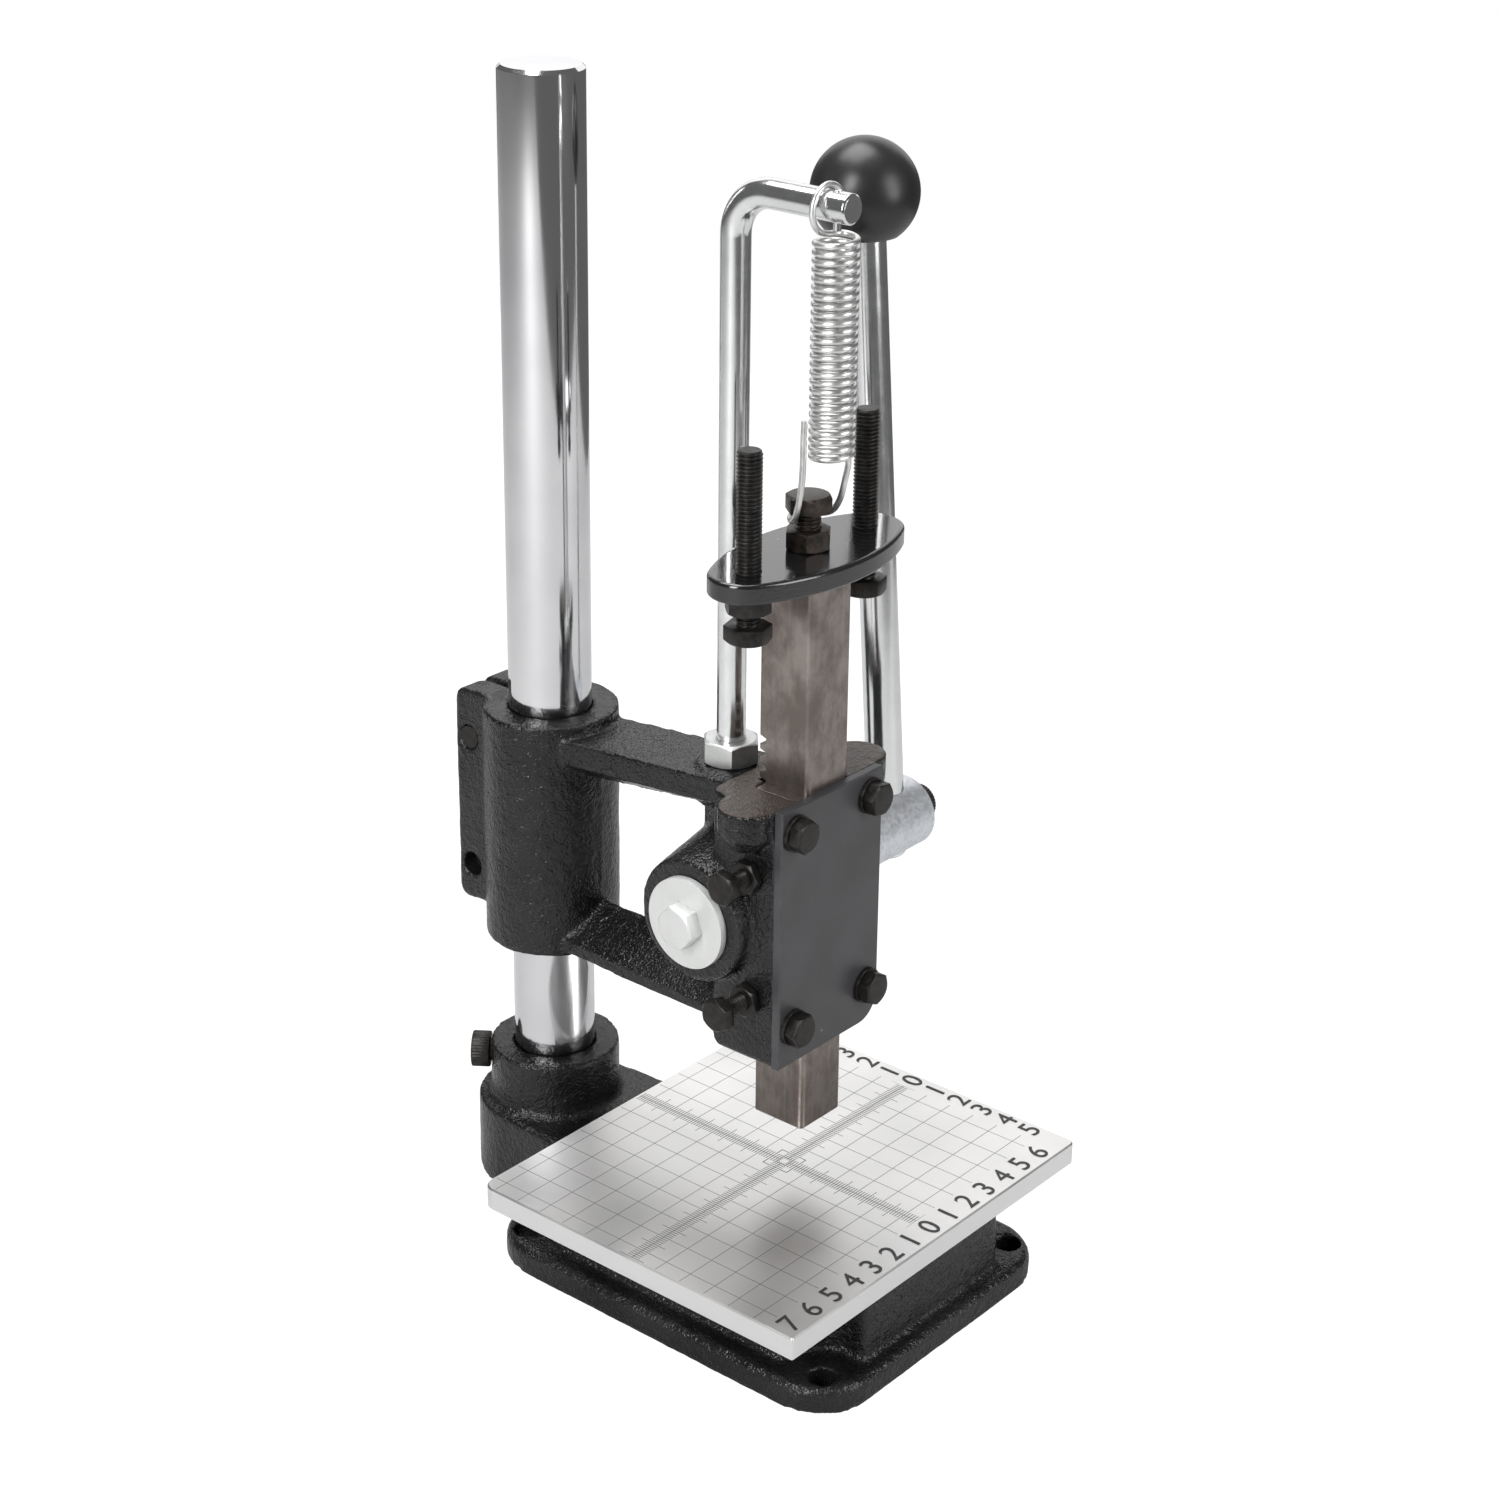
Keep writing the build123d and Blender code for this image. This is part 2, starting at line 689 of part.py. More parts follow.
# ---------------------------------------------------------------- ram
with BuildPart() as ram:
    with BuildSketch(Plane.XY.offset(ram_z0)) as sq:
        with Locations((0, ax_y)):
            Rectangle(ram_w, ram_w)
        fillet(sq.vertices().group_by(Axis.Y)[0], 1.8)
        fillet(sq.vertices().group_by(Axis.Y)[-1], 0.8)
    extrude(amount=ram_top - ram_z0)
    chamfer(ram.edges().group_by(Axis.Z)[0], 0.6)
    # rack gaps on the back face, one tooth standing at the pinion's axis height
    pitch = pi * mod
    rack_y = ax_y + ram_w / 2 - rack_tip
    half_gap = pitch / 4 + backlash / 4
    deep = shaft_r - pitch_r + root_gap
    out = rack_tip + 0.5
    slope = tan(press_angle)
    with BuildSketch(Plane.YZ.offset(-ram_w / 2 - 1)):
        with Locations(*[(rack_y, axle_z + (i - 3.5) * pitch) for i in range(rack_n)]):
            Polygon(
                (out, half_gap + slope * out),
                (-deep, half_gap - slope * deep),
                (-deep, -half_gap + slope * deep),
                (out, -half_gap - slope * out),
                align=None,
            )
    extrude(amount=ram_w + 2, mode=Mode.SUBTRACT)
    # tool socket below, set screw hole on the right, tapped hole on top
    with BuildSketch(Plane.XY.offset(ram_z0)):
        with Locations((0, ax_y)):
            Circle(tool_r)
    extrude(amount=tool_deep, mode=Mode.SUBTRACT)
    with BuildSketch(Plane.YZ):
        with Locations((ax_y, tool_screw_z)):
            Circle(m6_r + thread_gap)
    extrude(amount=ram_w, mode=Mode.SUBTRACT)
    with BuildSketch(Plane.XY.offset(ram_top)):
        with Locations((0, ax_y)):
            Circle(m8_r + thread_gap)
    extrude(amount=-cap_grip - 3, mode=Mode.SUBTRACT)

with BuildPart() as tool_set_screw:
    with BuildSketch(Plane.YZ.offset(tool_r + 0.3)):
        with Locations((ax_y, tool_screw_z)):
            Circle(m6_r)
    extrude(amount=8)
    with BuildSketch(Plane.YZ.offset(tool_r + 8.3)):
        with Locations((ax_y, tool_screw_z)):
            RegularPolygon(1.5, 6, major_radius=False)
    extrude(amount=-3, mode=Mode.SUBTRACT)

cap_e = cap_l - cap_end
cap_R = (cap_e**2 + cap_w**2 - cap_end**2) / (2 * (cap_w - cap_end))
cap_tx = cap_R * cap_e / (cap_R - cap_end)
cap_ty = cap_w - cap_R + cap_R * (cap_R - cap_w) / (cap_R - cap_end)
with BuildPart() as cap_plate:
    with BuildSketch(Plane(origin=(0, ax_y, ram_top))) as eye:
        with BuildLine():
            ThreePointArc((-cap_tx, cap_ty), (0, cap_w), (cap_tx, cap_ty))
            ThreePointArc((cap_tx, cap_ty), (cap_l, 0), (cap_tx, -cap_ty))
            ThreePointArc((cap_tx, -cap_ty), (0, -cap_w), (-cap_tx, -cap_ty))
            ThreePointArc((-cap_tx, -cap_ty), (-cap_l, 0), (-cap_tx, cap_ty))
        make_face()
        Circle(m8_r + hole_gap, mode=Mode.SUBTRACT)
        with Locations((-stop_x, 0), (stop_x, 0)):
            Circle(m8_r + thread_gap, mode=Mode.SUBTRACT)
    extrude(amount=cap_t)
    fillet(cap_plate.faces().sort_by(Axis.Z)[-1].outer_wire().edges(), 1.2)
    fillet(cap_plate.faces().sort_by(Axis.Z)[0].outer_wire().edges(), 0.8)
cap_top = ram_top + cap_t

with BuildPart() as cap_nut:
    with BuildSketch(Plane.XY.offset(cap_top + eps)):
        with Locations((0, ax_y)):
            RegularPolygon(m8_af / 2, 6, rotation=5, major_radius=False)
            Circle(m8_r + thread_gap, mode=Mode.SUBTRACT)
    extrude(amount=nut_h)

with BuildPart() as cap_bolt:
    with BuildSketch(Plane.XY.offset(ram_top - cap_grip)):
        with Locations((0, ax_y)):
            Circle(m8_r)
    extrude(amount=cap_grip + cap_t + cap_neck + 1)
    with BuildSketch(Plane.XY.offset(cap_top + cap_neck)):
        with Locations((0, ax_y)):
            RegularPolygon(m8_af / 2, 6, rotation=22, major_radius=False)
    extrude(amount=stop_head)

with BuildPart() as stop_bolts:
    with BuildSketch(Plane.XY.offset(stop_z0)):
        with Locations((-stop_x, ax_y), (stop_x, ax_y)):
            RegularPolygon(m8_af / 2, 6, rotation=14, major_radius=False)
    extrude(amount=stop_head)
    with BuildSketch(Plane.XY.offset(stop_z0 + 1)):
        with Locations((-stop_x, ax_y), (stop_x, ax_y)):
            Circle(m8_r)
    extrude(amount=stop_len - 1)
    chamfer(stop_bolts.edges().group_by(Axis.Z)[-1], 0.8)

with BuildPart() as stop_nuts:
    with BuildSketch(Plane.XY.offset(ram_top - eps - nut_h)):
        with Locations((-stop_x, ax_y), (stop_x, ax_y)):
            RegularPolygon(m8_af / 2, 6, rotation=20, major_radius=False)
            Circle(m8_r + thread_gap, mode=Mode.SUBTRACT)
    extrude(amount=nut_h)

# ---------------------------------------------------------------- return spring
# path: loop round the hook rod, coil, leg round the cap bolt's neck, free end
steps = []
loop_z = hook_top - (loop_r - wire_r - hook_r - 0.35)
for deg in (-120, -60, 0, 60, 120, 180):
    a = radians(deg)
    at = (-loop_r * sin(a), loop_y, loop_z + loop_r * cos(a))
    steps.append((at, (-cos(a), 0, -sin(a))))
for i in range(4 * coil_n + 1):
    a = -radians(90 * i)
    at = (coil_x + coil_r * cos(a), coil_y + coil_r * sin(a), coil_top - coil_pitch * i / 4)
    steps.append((at, (sin(a), -cos(a), -coil_pitch / (2 * pi * coil_r))))
coil_end = coil_top - coil_pitch * coil_n
neck_z = cap_top + 10
neck_back = ax_y + m8_r + wire_r + 0.45
steps.append(((coil_x + coil_r + 1.2, coil_y, coil_end - 6.5), (0.08, 0.3, -0.95)))
steps.append(((leg_x, ax_y - 3, neck_z + 1), (0, 0.6, -0.8)))
steps.append(((0, neck_back, neck_z - 0.2), (-1, 0, 0)))
steps.append(((-leg_x, ax_y - 2.2, neck_z + 3), (0, -0.3, 0.95)))
steps.append(((-leg_x + 0.8, ax_y - 4.2, neck_z + 33), (0.03, -0.03, 1)))

with BuildPart() as return_spring:
    with BuildLine() as wire:
        for (p0, t0), (p1, t1) in zip(steps, steps[1:]):
            a0 = Vector(*p0)
            a1 = Vector(*p1)
            u0 = Vector(*t0).normalized()
            u1 = Vector(*t1).normalized()
            v = a1 - a0
            vt = v.dot(u0 + u1)
            k = 2 * (1 - u0.dot(u1))
            d = v.dot(v) / (2 * vt) if k < 1e-9 else (sqrt(vt * vt + k * v.dot(v)) - vt) / k
            mid = (a0 + a1 + (u0 - u1) * d) * 0.5
            TangentArc(a0, mid, tangent=u0)
            TangentArc(mid, a1, tangent=v - (u0 + u1) * d)
    start = Vector(*steps[0][0])
    with BuildSketch(Plane(start, z_dir=Vector(*steps[0][1]))):
        Circle(wire_r)
    sweep()

# least gap of the wire to itself, measured on points along it
marks = [e.position_at(i / 6) for e in wire.line.edges() for i in range(6)]
least = min(
    (marks[i] - marks[j]).length
    for i in range(len(marks))
    for j in range(i + 9, len(marks))
    if (marks[i] - marks[j]).length < 4
)
print("spring wire: least gap to itself", round(least - 2 * wire_r, 2), "mm")

# ---------------------------------------------------------------- output
pieces = {
    "base_casting": base_casting,
    "column_set_screw": column_set_screw,
    "platen": platen,
    "platen_screws": platen_screws,
    "column": column,
    "head_casting": head_casting,
    "clamp_bolts": clamp_bolts,
    "front_cover": front_cover,
    "cover_washers": cover_washers,
    "cover_bolts": cover_bolts,
    "gib": gib,
    "gib_bolts": gib_bolts,
    "gib_lock_nuts": gib_lock_nuts,
    "hook_rod": hook_rod,
    "hook_pin": hook_pin,
    "hook_rod_nut": hook_rod_nut,
    "pinion_shaft": pinion_shaft,
    "axle_washer": axle_washer,
    "axle_bolt": axle_bolt,
    "lever_rod": lever_rod,
    "lever_lock_screw": lever_lock_screw,
    "lever_knob": lever_knob,
    "ram": ram,
    "tool_set_screw": tool_set_screw,
    "cap_plate": cap_plate,
    "cap_nut": cap_nut,
    "cap_bolt": cap_bolt,
    "stop_bolts": stop_bolts,
    "stop_nuts": stop_nuts,
    "return_spring": return_spring,
}
os.makedirs("parts", exist_ok=True)
for name, piece in pieces.items():
    piece.part.label = name
    export_step(piece.part, "parts/" + name + ".step")
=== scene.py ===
import bpy
from math import atan2, cos, pi, radians, sin
from mathutils import Matrix, Quaternion, Vector, noise


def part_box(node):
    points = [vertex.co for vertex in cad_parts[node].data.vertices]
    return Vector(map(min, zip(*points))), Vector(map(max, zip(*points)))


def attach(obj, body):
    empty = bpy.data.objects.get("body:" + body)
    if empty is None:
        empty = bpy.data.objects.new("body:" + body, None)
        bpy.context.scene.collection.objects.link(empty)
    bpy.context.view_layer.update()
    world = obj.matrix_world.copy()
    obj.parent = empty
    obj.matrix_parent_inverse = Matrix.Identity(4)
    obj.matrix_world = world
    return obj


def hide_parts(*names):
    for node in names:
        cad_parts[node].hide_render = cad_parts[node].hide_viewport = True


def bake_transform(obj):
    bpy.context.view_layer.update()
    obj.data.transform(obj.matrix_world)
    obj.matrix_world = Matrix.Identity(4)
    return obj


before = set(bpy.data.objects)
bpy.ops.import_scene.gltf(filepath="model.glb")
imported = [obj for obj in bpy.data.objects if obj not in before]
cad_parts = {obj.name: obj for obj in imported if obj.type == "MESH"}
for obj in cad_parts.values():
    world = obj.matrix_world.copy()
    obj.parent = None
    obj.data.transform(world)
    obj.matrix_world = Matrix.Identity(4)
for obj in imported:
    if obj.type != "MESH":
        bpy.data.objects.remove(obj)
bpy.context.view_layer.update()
mm = 0.001

# ---------------------------------------------------------------- camera
# A long lens at the front left of the press, a little above its cap plate.
# The frame is cut low and left of the lens axis, so the camera is shifted.
camera_data = bpy.data.cameras.new("camera")
camera = bpy.data.objects.new("camera", camera_data)
bpy.context.scene.collection.objects.link(camera)
bpy.context.scene.camera = camera
camera_data.sensor_width = 36
camera_data.lens = 71.14
camera_data.shift_x = -0.0315
camera_data.shift_y = -0.0844
camera_data.clip_end = 20
camera_turn = radians(-50.95)
camera_rise = radians(21.34)
camera_roll = radians(1.033)
towards_camera = Vector((
    sin(camera_turn) * cos(camera_rise),
    -cos(camera_turn) * cos(camera_rise),
    sin(camera_rise),
))
camera.location = (-0.66134, -0.54483, 0.56588)
camera.rotation_mode = "QUATERNION"
camera.rotation_quaternion = (
    (-towards_camera).to_track_quat("-Z", "Y") @ Quaternion((0, 0, 1), camera_roll)
)

# ---------------------------------------------------------------- base casting
# Grey iron, sand cast and painted satin black: foot, pedestal and column boss in one.
# The column's socket and the bolt holes are machined after casting.


def begin(make, name, **settings):
    bpy.ops.object.select_all(action="DESELECT")
    make(**settings)
    piece = bpy.context.object
    piece.name = piece.data.name = name
    return piece


def shape(piece, kind, **settings):
    bpy.ops.object.select_all(action="DESELECT")
    piece.select_set(True)
    bpy.context.view_layer.objects.active = piece
    step = piece.modifiers.new(kind.lower(), kind)
    for key, value in settings.items():
        setattr(step, key, value)
    bpy.ops.object.modifier_apply(modifier=step.name)


def settle(piece):
    # its place goes into its mesh, its object stays at the origin
    bpy.context.view_layer.update()
    piece.data.transform(piece.matrix_world)
    piece.matrix_world = Matrix.Identity(4)
    return piece


def carve(piece, cutter, operation="DIFFERENCE"):
    shape(piece, "BOOLEAN", operation=operation, object=cutter, solver="EXACT")
    bpy.data.objects.remove(cutter)


def drill(piece, at, along, radius, depth, sides=64):
    turn = Vector(along).to_track_quat("Z", "Y").to_euler()
    middle = Vector(at) + Vector(along).normalized() * depth / 2
    tool = begin(bpy.ops.mesh.primitive_cylinder_add, "drill", vertices=sides,
                 radius=radius, depth=depth, location=middle, rotation=turn)
    carve(piece, settle(tool))


def mill(piece, low, high):
    low, high = Vector(low), Vector(high)
    tool = begin(bpy.ops.mesh.primitive_cube_add, "mill", size=1,
                 location=(low + high) / 2, scale=high - low)
    carve(piece, settle(tool))


def sand_cast(node, name, grain, rounds, extra=(), seam=False):
    # the raw casting: every corner and root rounded, as a sand mould leaves it
    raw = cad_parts[node]
    piece = raw.copy()
    piece.data = raw.data.copy()
    piece.name = piece.data.name = name
    piece.parent = None
    piece.matrix_world = Matrix.Identity(4)
    bpy.context.scene.collection.objects.link(piece)
    bpy.ops.object.select_all(action="DESELECT")
    for part in (piece, *extra):
        part.select_set(True)
    bpy.context.view_layer.objects.active = piece
    if extra:
        bpy.ops.object.join()
    bpy.ops.object.mode_set(mode="EDIT")
    bpy.ops.mesh.select_all(action="SELECT")
    bpy.ops.mesh.remove_doubles(threshold=1e-6)
    bpy.ops.object.mode_set(mode="OBJECT")
    shape(piece, "REMESH", mode="VOXEL", voxel_size=grain, adaptivity=0.0)
    shape(piece, "SMOOTH", factor=0.5, iterations=rounds)
    # the mould's unevenness, and the seam its two halves leave on the middle plane
    seam_half = 1.1 * mm
    outward = [corner.normal.copy() for corner in piece.data.vertices]
    for corner, out in zip(piece.data.vertices, outward):
        at = corner.co
        push = noise.noise(at * 130) * 0.16 * mm + noise.noise(at * 420) * 0.1 * mm
        if seam and 0.015 < at.y < 0.085 and 0.1 < at.z < 0.17 and abs(at.x) < seam_half:
            push += (1 - abs(at.x) / seam_half) * (0.3 + 0.35 * noise.noise(at * 700)) * mm
        corner.co = at + out * push
    bpy.ops.object.shade_smooth()
    return piece


def socket(group, name, kind, value=None, out=False):
    side = "OUTPUT" if out else "INPUT"
    new = group.interface.new_socket(name=name, in_out=side, socket_type="NodeSocket" + kind)
    if value is not None:
        new.default_value = value


def node(tree, kind, values=None, **settings):
    new = tree.nodes.new("ShaderNode" + kind)
    for key, value in settings.items():
        setattr(new, key, value)
    for key, value in (values or {}).items():
        if isinstance(value, bpy.types.NodeSocket):
            tree.links.new(value, new.inputs[key])
        else:
            new.inputs[key].default_value = value
    return new


def spread(tree, value, low, high, to_low=0.0, to_high=1.0):
    # a value between low and high goes smoothly to one between to_low and to_high
    return node(tree, "MapRange", {0: value, 1: low, 2: high, 3: to_low, 4: to_high},
                interpolation_type="SMOOTHSTEP").outputs[0]


def tint(tree, mask, one, two):
    mix = node(tree, "Mix", {0: mask}, data_type="RGBA")
    for place, colour in ((6, one), (7, two)):
        if isinstance(colour, bpy.types.NodeSocket):
            tree.links.new(colour, mix.inputs[place])
        else:
            mix.inputs[place].default_value = (*colour, 1)
    return mix.outputs[2]


def reckon(tree, operation, *values):
    return node(tree, "Math", dict(enumerate(values)), operation=operation).outputs[0]


def grain(tree, at, scale, detail=2.0, roughness=0.5, stretch=None):
    # cloudy noise; stretch gives it a scale of its own along each axis
    if stretch:
        at = node(tree, "Mapping", {"Vector": at, "Scale": stretch}).outputs[0]
    return node(tree, "TexNoise", {
        "Vector": at, "Scale": scale, "Detail": detail, "Roughness": roughness,
    }).outputs[0]


def bumped(tree, strength, distance, height, over=None):
    values = {"Strength": strength, "Distance": distance, "Height": height}
    if over is not None:
        values["Normal"] = over
    return node(tree, "Bump", values).outputs[0]


def feed(tree, shader, **sockets):
    for key, value in sockets.items():
        tree.links.new(value, shader.inputs[key.replace("_", " ")])


def finish(name, **sockets):
    new = bpy.data.materials.new(name)
    new.use_nodes = True
    shader = new.node_tree.nodes["Principled BSDF"]
    for key, value in sockets.items():
        shader.inputs[key.replace("_", " ")].default_value = value
    return new, new.node_tree, shader


def clothe(piece, material):
    if isinstance(piece, str):
        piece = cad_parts[piece]
    piece.data.materials.clear()
    piece.data.materials.append(material)


# edge mask: where a rounded normal leaves the true one, broken up by noise; it paints real wear on
# some parts and painted highlights on others
edge_wear_highlight = bpy.data.node_groups.new("edge_wear_and_painted_highlight", "ShaderNodeTree")
socket(edge_wear_highlight, "Radius", "Float", 0.001)
socket(edge_wear_highlight, "Patch", "Float", 300.0)
socket(edge_wear_highlight, "Edge", "Float", out=True)
socket(edge_wear_highlight, "Normal", "Vector", out=True)
g_in = node(edge_wear_highlight, "Bevel", samples=4)
g_start = edge_wear_highlight.nodes.new("NodeGroupInput")
g_end = edge_wear_highlight.nodes.new("NodeGroupOutput")
edge_wear_highlight.links.new(g_start.outputs["Radius"], g_in.inputs["Radius"])
g_true = node(edge_wear_highlight, "NewGeometry").outputs["Normal"]
g_dot = node(edge_wear_highlight, "VectorMath", {0: g_in.outputs[0], 1: g_true},
             operation="DOT_PRODUCT").outputs["Value"]
g_at = node(edge_wear_highlight, "TexCoord").outputs["Object"]
g_noise = grain(edge_wear_highlight, g_at, g_start.outputs["Patch"], 3.0)
g_edge = spread(edge_wear_highlight, g_dot, 0.985, 0.88)
g_edge = reckon(edge_wear_highlight, "MULTIPLY", g_edge, spread(edge_wear_highlight, g_noise, 0.45, 0.62))
edge_wear_highlight.links.new(g_edge, g_end.inputs["Edge"])
edge_wear_highlight.links.new(g_in.outputs[0], g_end.inputs["Normal"])

# sand mould skin: an orange peel of low bumps with a few pits
skin = bpy.data.node_groups.new("sand_mould_skin", "ShaderNodeTree")
socket(skin, "Size", "Float", 420.0)
socket(skin, "Height", "Float", out=True)
socket(skin, "Mottle", "Float", out=True)
g_start = skin.nodes.new("NodeGroupInput")
g_end = skin.nodes.new("NodeGroupOutput")
g_at = node(skin, "TexCoord").outputs["Object"]
g_big = grain(skin, g_at, g_start.outputs["Size"], 2.0, 0.6)
g_fine = grain(skin, g_at, 1250.0, 1.0)
g_low = grain(skin, g_at, 45.0)
g_pit = node(skin, "TexVoronoi", {"Vector": g_at, "Scale": 300.0, "Randomness": 1.0})
g_pit = g_pit.outputs["Distance"]
g_pit = spread(skin, g_pit, 0.0, 0.2)
g_sum = reckon(skin, "ADD", g_big, reckon(skin, "MULTIPLY", g_pit, 0.35))
g_sum = reckon(skin, "ADD", g_sum, reckon(skin, "MULTIPLY", g_fine, 0.55))
skin.links.new(g_sum, g_end.inputs["Height"])
skin.links.new(g_low, g_end.inputs["Mottle"])


def cast_paint(name, worn=None):
    # worn is (height, softness): above it the paint has gone from machined tops
    material, tree, shader = finish(name, Metallic=0.0, Specular_IOR_Level=0.42)
    mould = node(tree, "Group", node_tree=skin).outputs
    edge_wear_and_glint = node(tree, "Group", {"Radius": 0.0011, "Patch": 240.0}, node_tree=edge_wear_highlight)
    base = tint(tree, spread(tree, mould["Mottle"], 0.35, 0.68),
                (0.006, 0.006, 0.0064), (0.0135, 0.013, 0.0128))
    # edges and junctions painted lighter: partly worn paint, partly painted highlight
    edge_wear_and_glint = reckon(tree, "MULTIPLY", edge_wear_and_glint.outputs["Edge"], 0.35)
    base = tint(tree, edge_wear_and_glint, base, (0.16, 0.155, 0.15))
    rough = spread(tree, mould["Mottle"], 0.3, 0.7, 0.18, 0.28)
    if worn:
        top, softness = worn
        at = node(tree, "TexCoord").outputs["Object"]
        up = node(tree, "SeparateXYZ", {0: node(tree, "NewGeometry").outputs["Normal"]}).outputs[2]
        high = node(tree, "SeparateXYZ", {0: at}).outputs[2]
        bare = spread(tree, high, top - softness, top)
        bare = reckon(tree, "MULTIPLY", bare, spread(tree, up, 0.55, 0.95))
        blot = grain(tree, at, 130.0, 6.0, 0.65)
        bare = reckon(tree, "MULTIPLY", bare, spread(tree, blot, 0.36, 0.6, 0.7, 1.0))
        base = tint(tree, bare, base, (0.06, 0.046, 0.038))
        rough = reckon(tree, "ADD", rough, reckon(tree, "MULTIPLY", bare, 0.14))
    feed(tree, shader, Base_Color=base, Roughness=rough,
         Normal=bumped(tree, 0.8, 0.0008, mould["Height"]))
    return material


column_y = 0.098
column_bore = 14.05 * mm
hole_x, hole_y, hole_r = 0.0495, 0.064, 4.5 * mm
base = sand_cast("base_casting", "base_cast", 1.15 * mm, 5)
drill(base, (0, column_y, 0.006), (0, 0, 1), column_bore, 60 * mm)
for x in (-hole_x, hole_x):
    for y in (-hole_y, hole_y):
        drill(base, (x, y, -0.002), (0, 0, 1), hole_r, 40 * mm, 40)
clothe(base, cast_paint("cast_paint_base"))
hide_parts("base_casting")
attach(base, "base")

# ---------------------------------------------------------------- platen
# Milled aluminium plate with a fine satin face, screwed to the pedestal from below.
# A 10 mm grid, two millimetre rules through its zero and centimetre numbers are printed on it.
platen_paint, tree, shader = finish("printed_aluminium", Metallic=1.0)
zero_y = -0.007
plate_top = 0.041
at = node(tree, "TexCoord").outputs["Object"]
flat = node(tree, "Mapping", {"Vector": at, "Location": (0, -zero_y, 0)}).outputs[0]
flat = node(tree, "SeparateXYZ", {0: flat})
across, along, up = flat.outputs


def band(value, centre, half):
    # 1 inside centre +- half, with an edge a twentieth of a millimetre soft
    off = reckon(tree, "ABSOLUTE", reckon(tree, "SUBTRACT", value, centre))
    return spread(tree, off, half + 0.03 * mm, half - 0.03 * mm)


def every(value, step, half):
    # 1 near each multiple of step
    nearest = reckon(tree, "SNAP", reckon(tree, "ADD", value, step / 2), step)
    near = reckon(tree, "ABSOLUTE", reckon(tree, "SUBTRACT", value, nearest))
    return spread(tree, near, half + 0.03 * mm, half - 0.03 * mm)


def both(*masks):
    total = masks[0]
    for mask in masks[1:]:
        total = reckon(tree, "MULTIPLY", total, mask)
    return total


def either(*masks):
    total = masks[0]
    for mask in masks[1:]:
        total = reckon(tree, "MAXIMUM", total, mask)
    return total


def inside(value, low, high):
    return both(reckon(tree, "GREATER_THAN", value, low), reckon(tree, "LESS_THAN", value, high))


line_half = 0.12 * mm
tick_half = 0.19 * mm
rule_half = 2.5 * mm
half_cm = 5 * mm
box_half = 5.1 * mm
from_x = reckon(tree, "ABSOLUTE", across)
from_y = reckon(tree, "ABSOLUTE", along)
far_x = inside(across, -0.0752, 0.065)
far_y = inside(along, -0.055, 0.0645)
grid_x = both(every(across, 0.01, line_half), far_y, inside(across, -0.071, 0.061))
grid_y = both(every(along, 0.01, line_half), far_x, inside(along, -0.051, 0.061))
off_centre = reckon(tree, "GREATER_THAN", reckon(tree, "MAXIMUM", from_x, from_y), 0.0012)
ticks_y = both(every(along, 0.001, tick_half), band(across, 0.0, rule_half), far_y)
ticks_x = both(every(across, 0.001, tick_half), band(along, 0.0, rule_half),
               inside(across, -0.0748, 0.0645))
half_cm_y = both(every(reckon(tree, "ADD", along, half_cm), 0.01, line_half),
                 band(across, 0.0, half_cm), far_y)
half_cm_x = both(every(reckon(tree, "ADD", across, half_cm), 0.01, line_half),
                 band(along, 0.0, half_cm), far_x)
frame_x = both(band(from_x, box_half, line_half), band(along, 0.0, box_half),
               reckon(tree, "GREATER_THAN", from_y, rule_half))
frame_y = both(band(from_y, box_half, line_half), band(across, 0.0, box_half),
               reckon(tree, "GREATER_THAN", from_x, rule_half))
ink = either(reckon(tree, "MULTIPLY", either(grid_x, grid_y), 0.92), frame_x, frame_y,
             reckon(tree, "MULTIPLY", either(ticks_y, ticks_x), 0.8), half_cm_x, half_cm_y)
ink = both(ink, off_centre, reckon(tree, "GREATER_THAN", up, plate_top - 0.1 * mm))
cloud = grain(tree, at, 28.0, 3.0)
milled = grain(tree, at, 1.0, stretch=(30, 2200, 900))
fine = grain(tree, at, 2600.0)
side = reckon(tree, "LESS_THAN", up, plate_top - 0.6 * mm)
metal = tint(tree, spread(tree, cloud, 0.3, 0.7), (0.72, 0.715, 0.71), (0.8, 0.79, 0.78))
metal = tint(tree, side, metal, (0.8, 0.8, 0.8))
height = reckon(tree, "ADD", reckon(tree, "MULTIPLY", fine, 0.6),
                reckon(tree, "MULTIPLY", milled, reckon(tree, "MULTIPLY", side, 0.8)))
feed(tree, shader,
     Base_Color=tint(tree, ink, metal, (0.012, 0.012, 0.012)),
     Metallic=reckon(tree, "SUBTRACT", 1.0, ink),
     Roughness=reckon(tree, "ADD", spread(tree, cloud, 0.25, 0.75, 0.34, 0.42),
                      reckon(tree, "MULTIPLY", side, 0.12)),
     Normal=bumped(tree, 0.25, 0.00008, height))
clothe("platen", platen_paint)

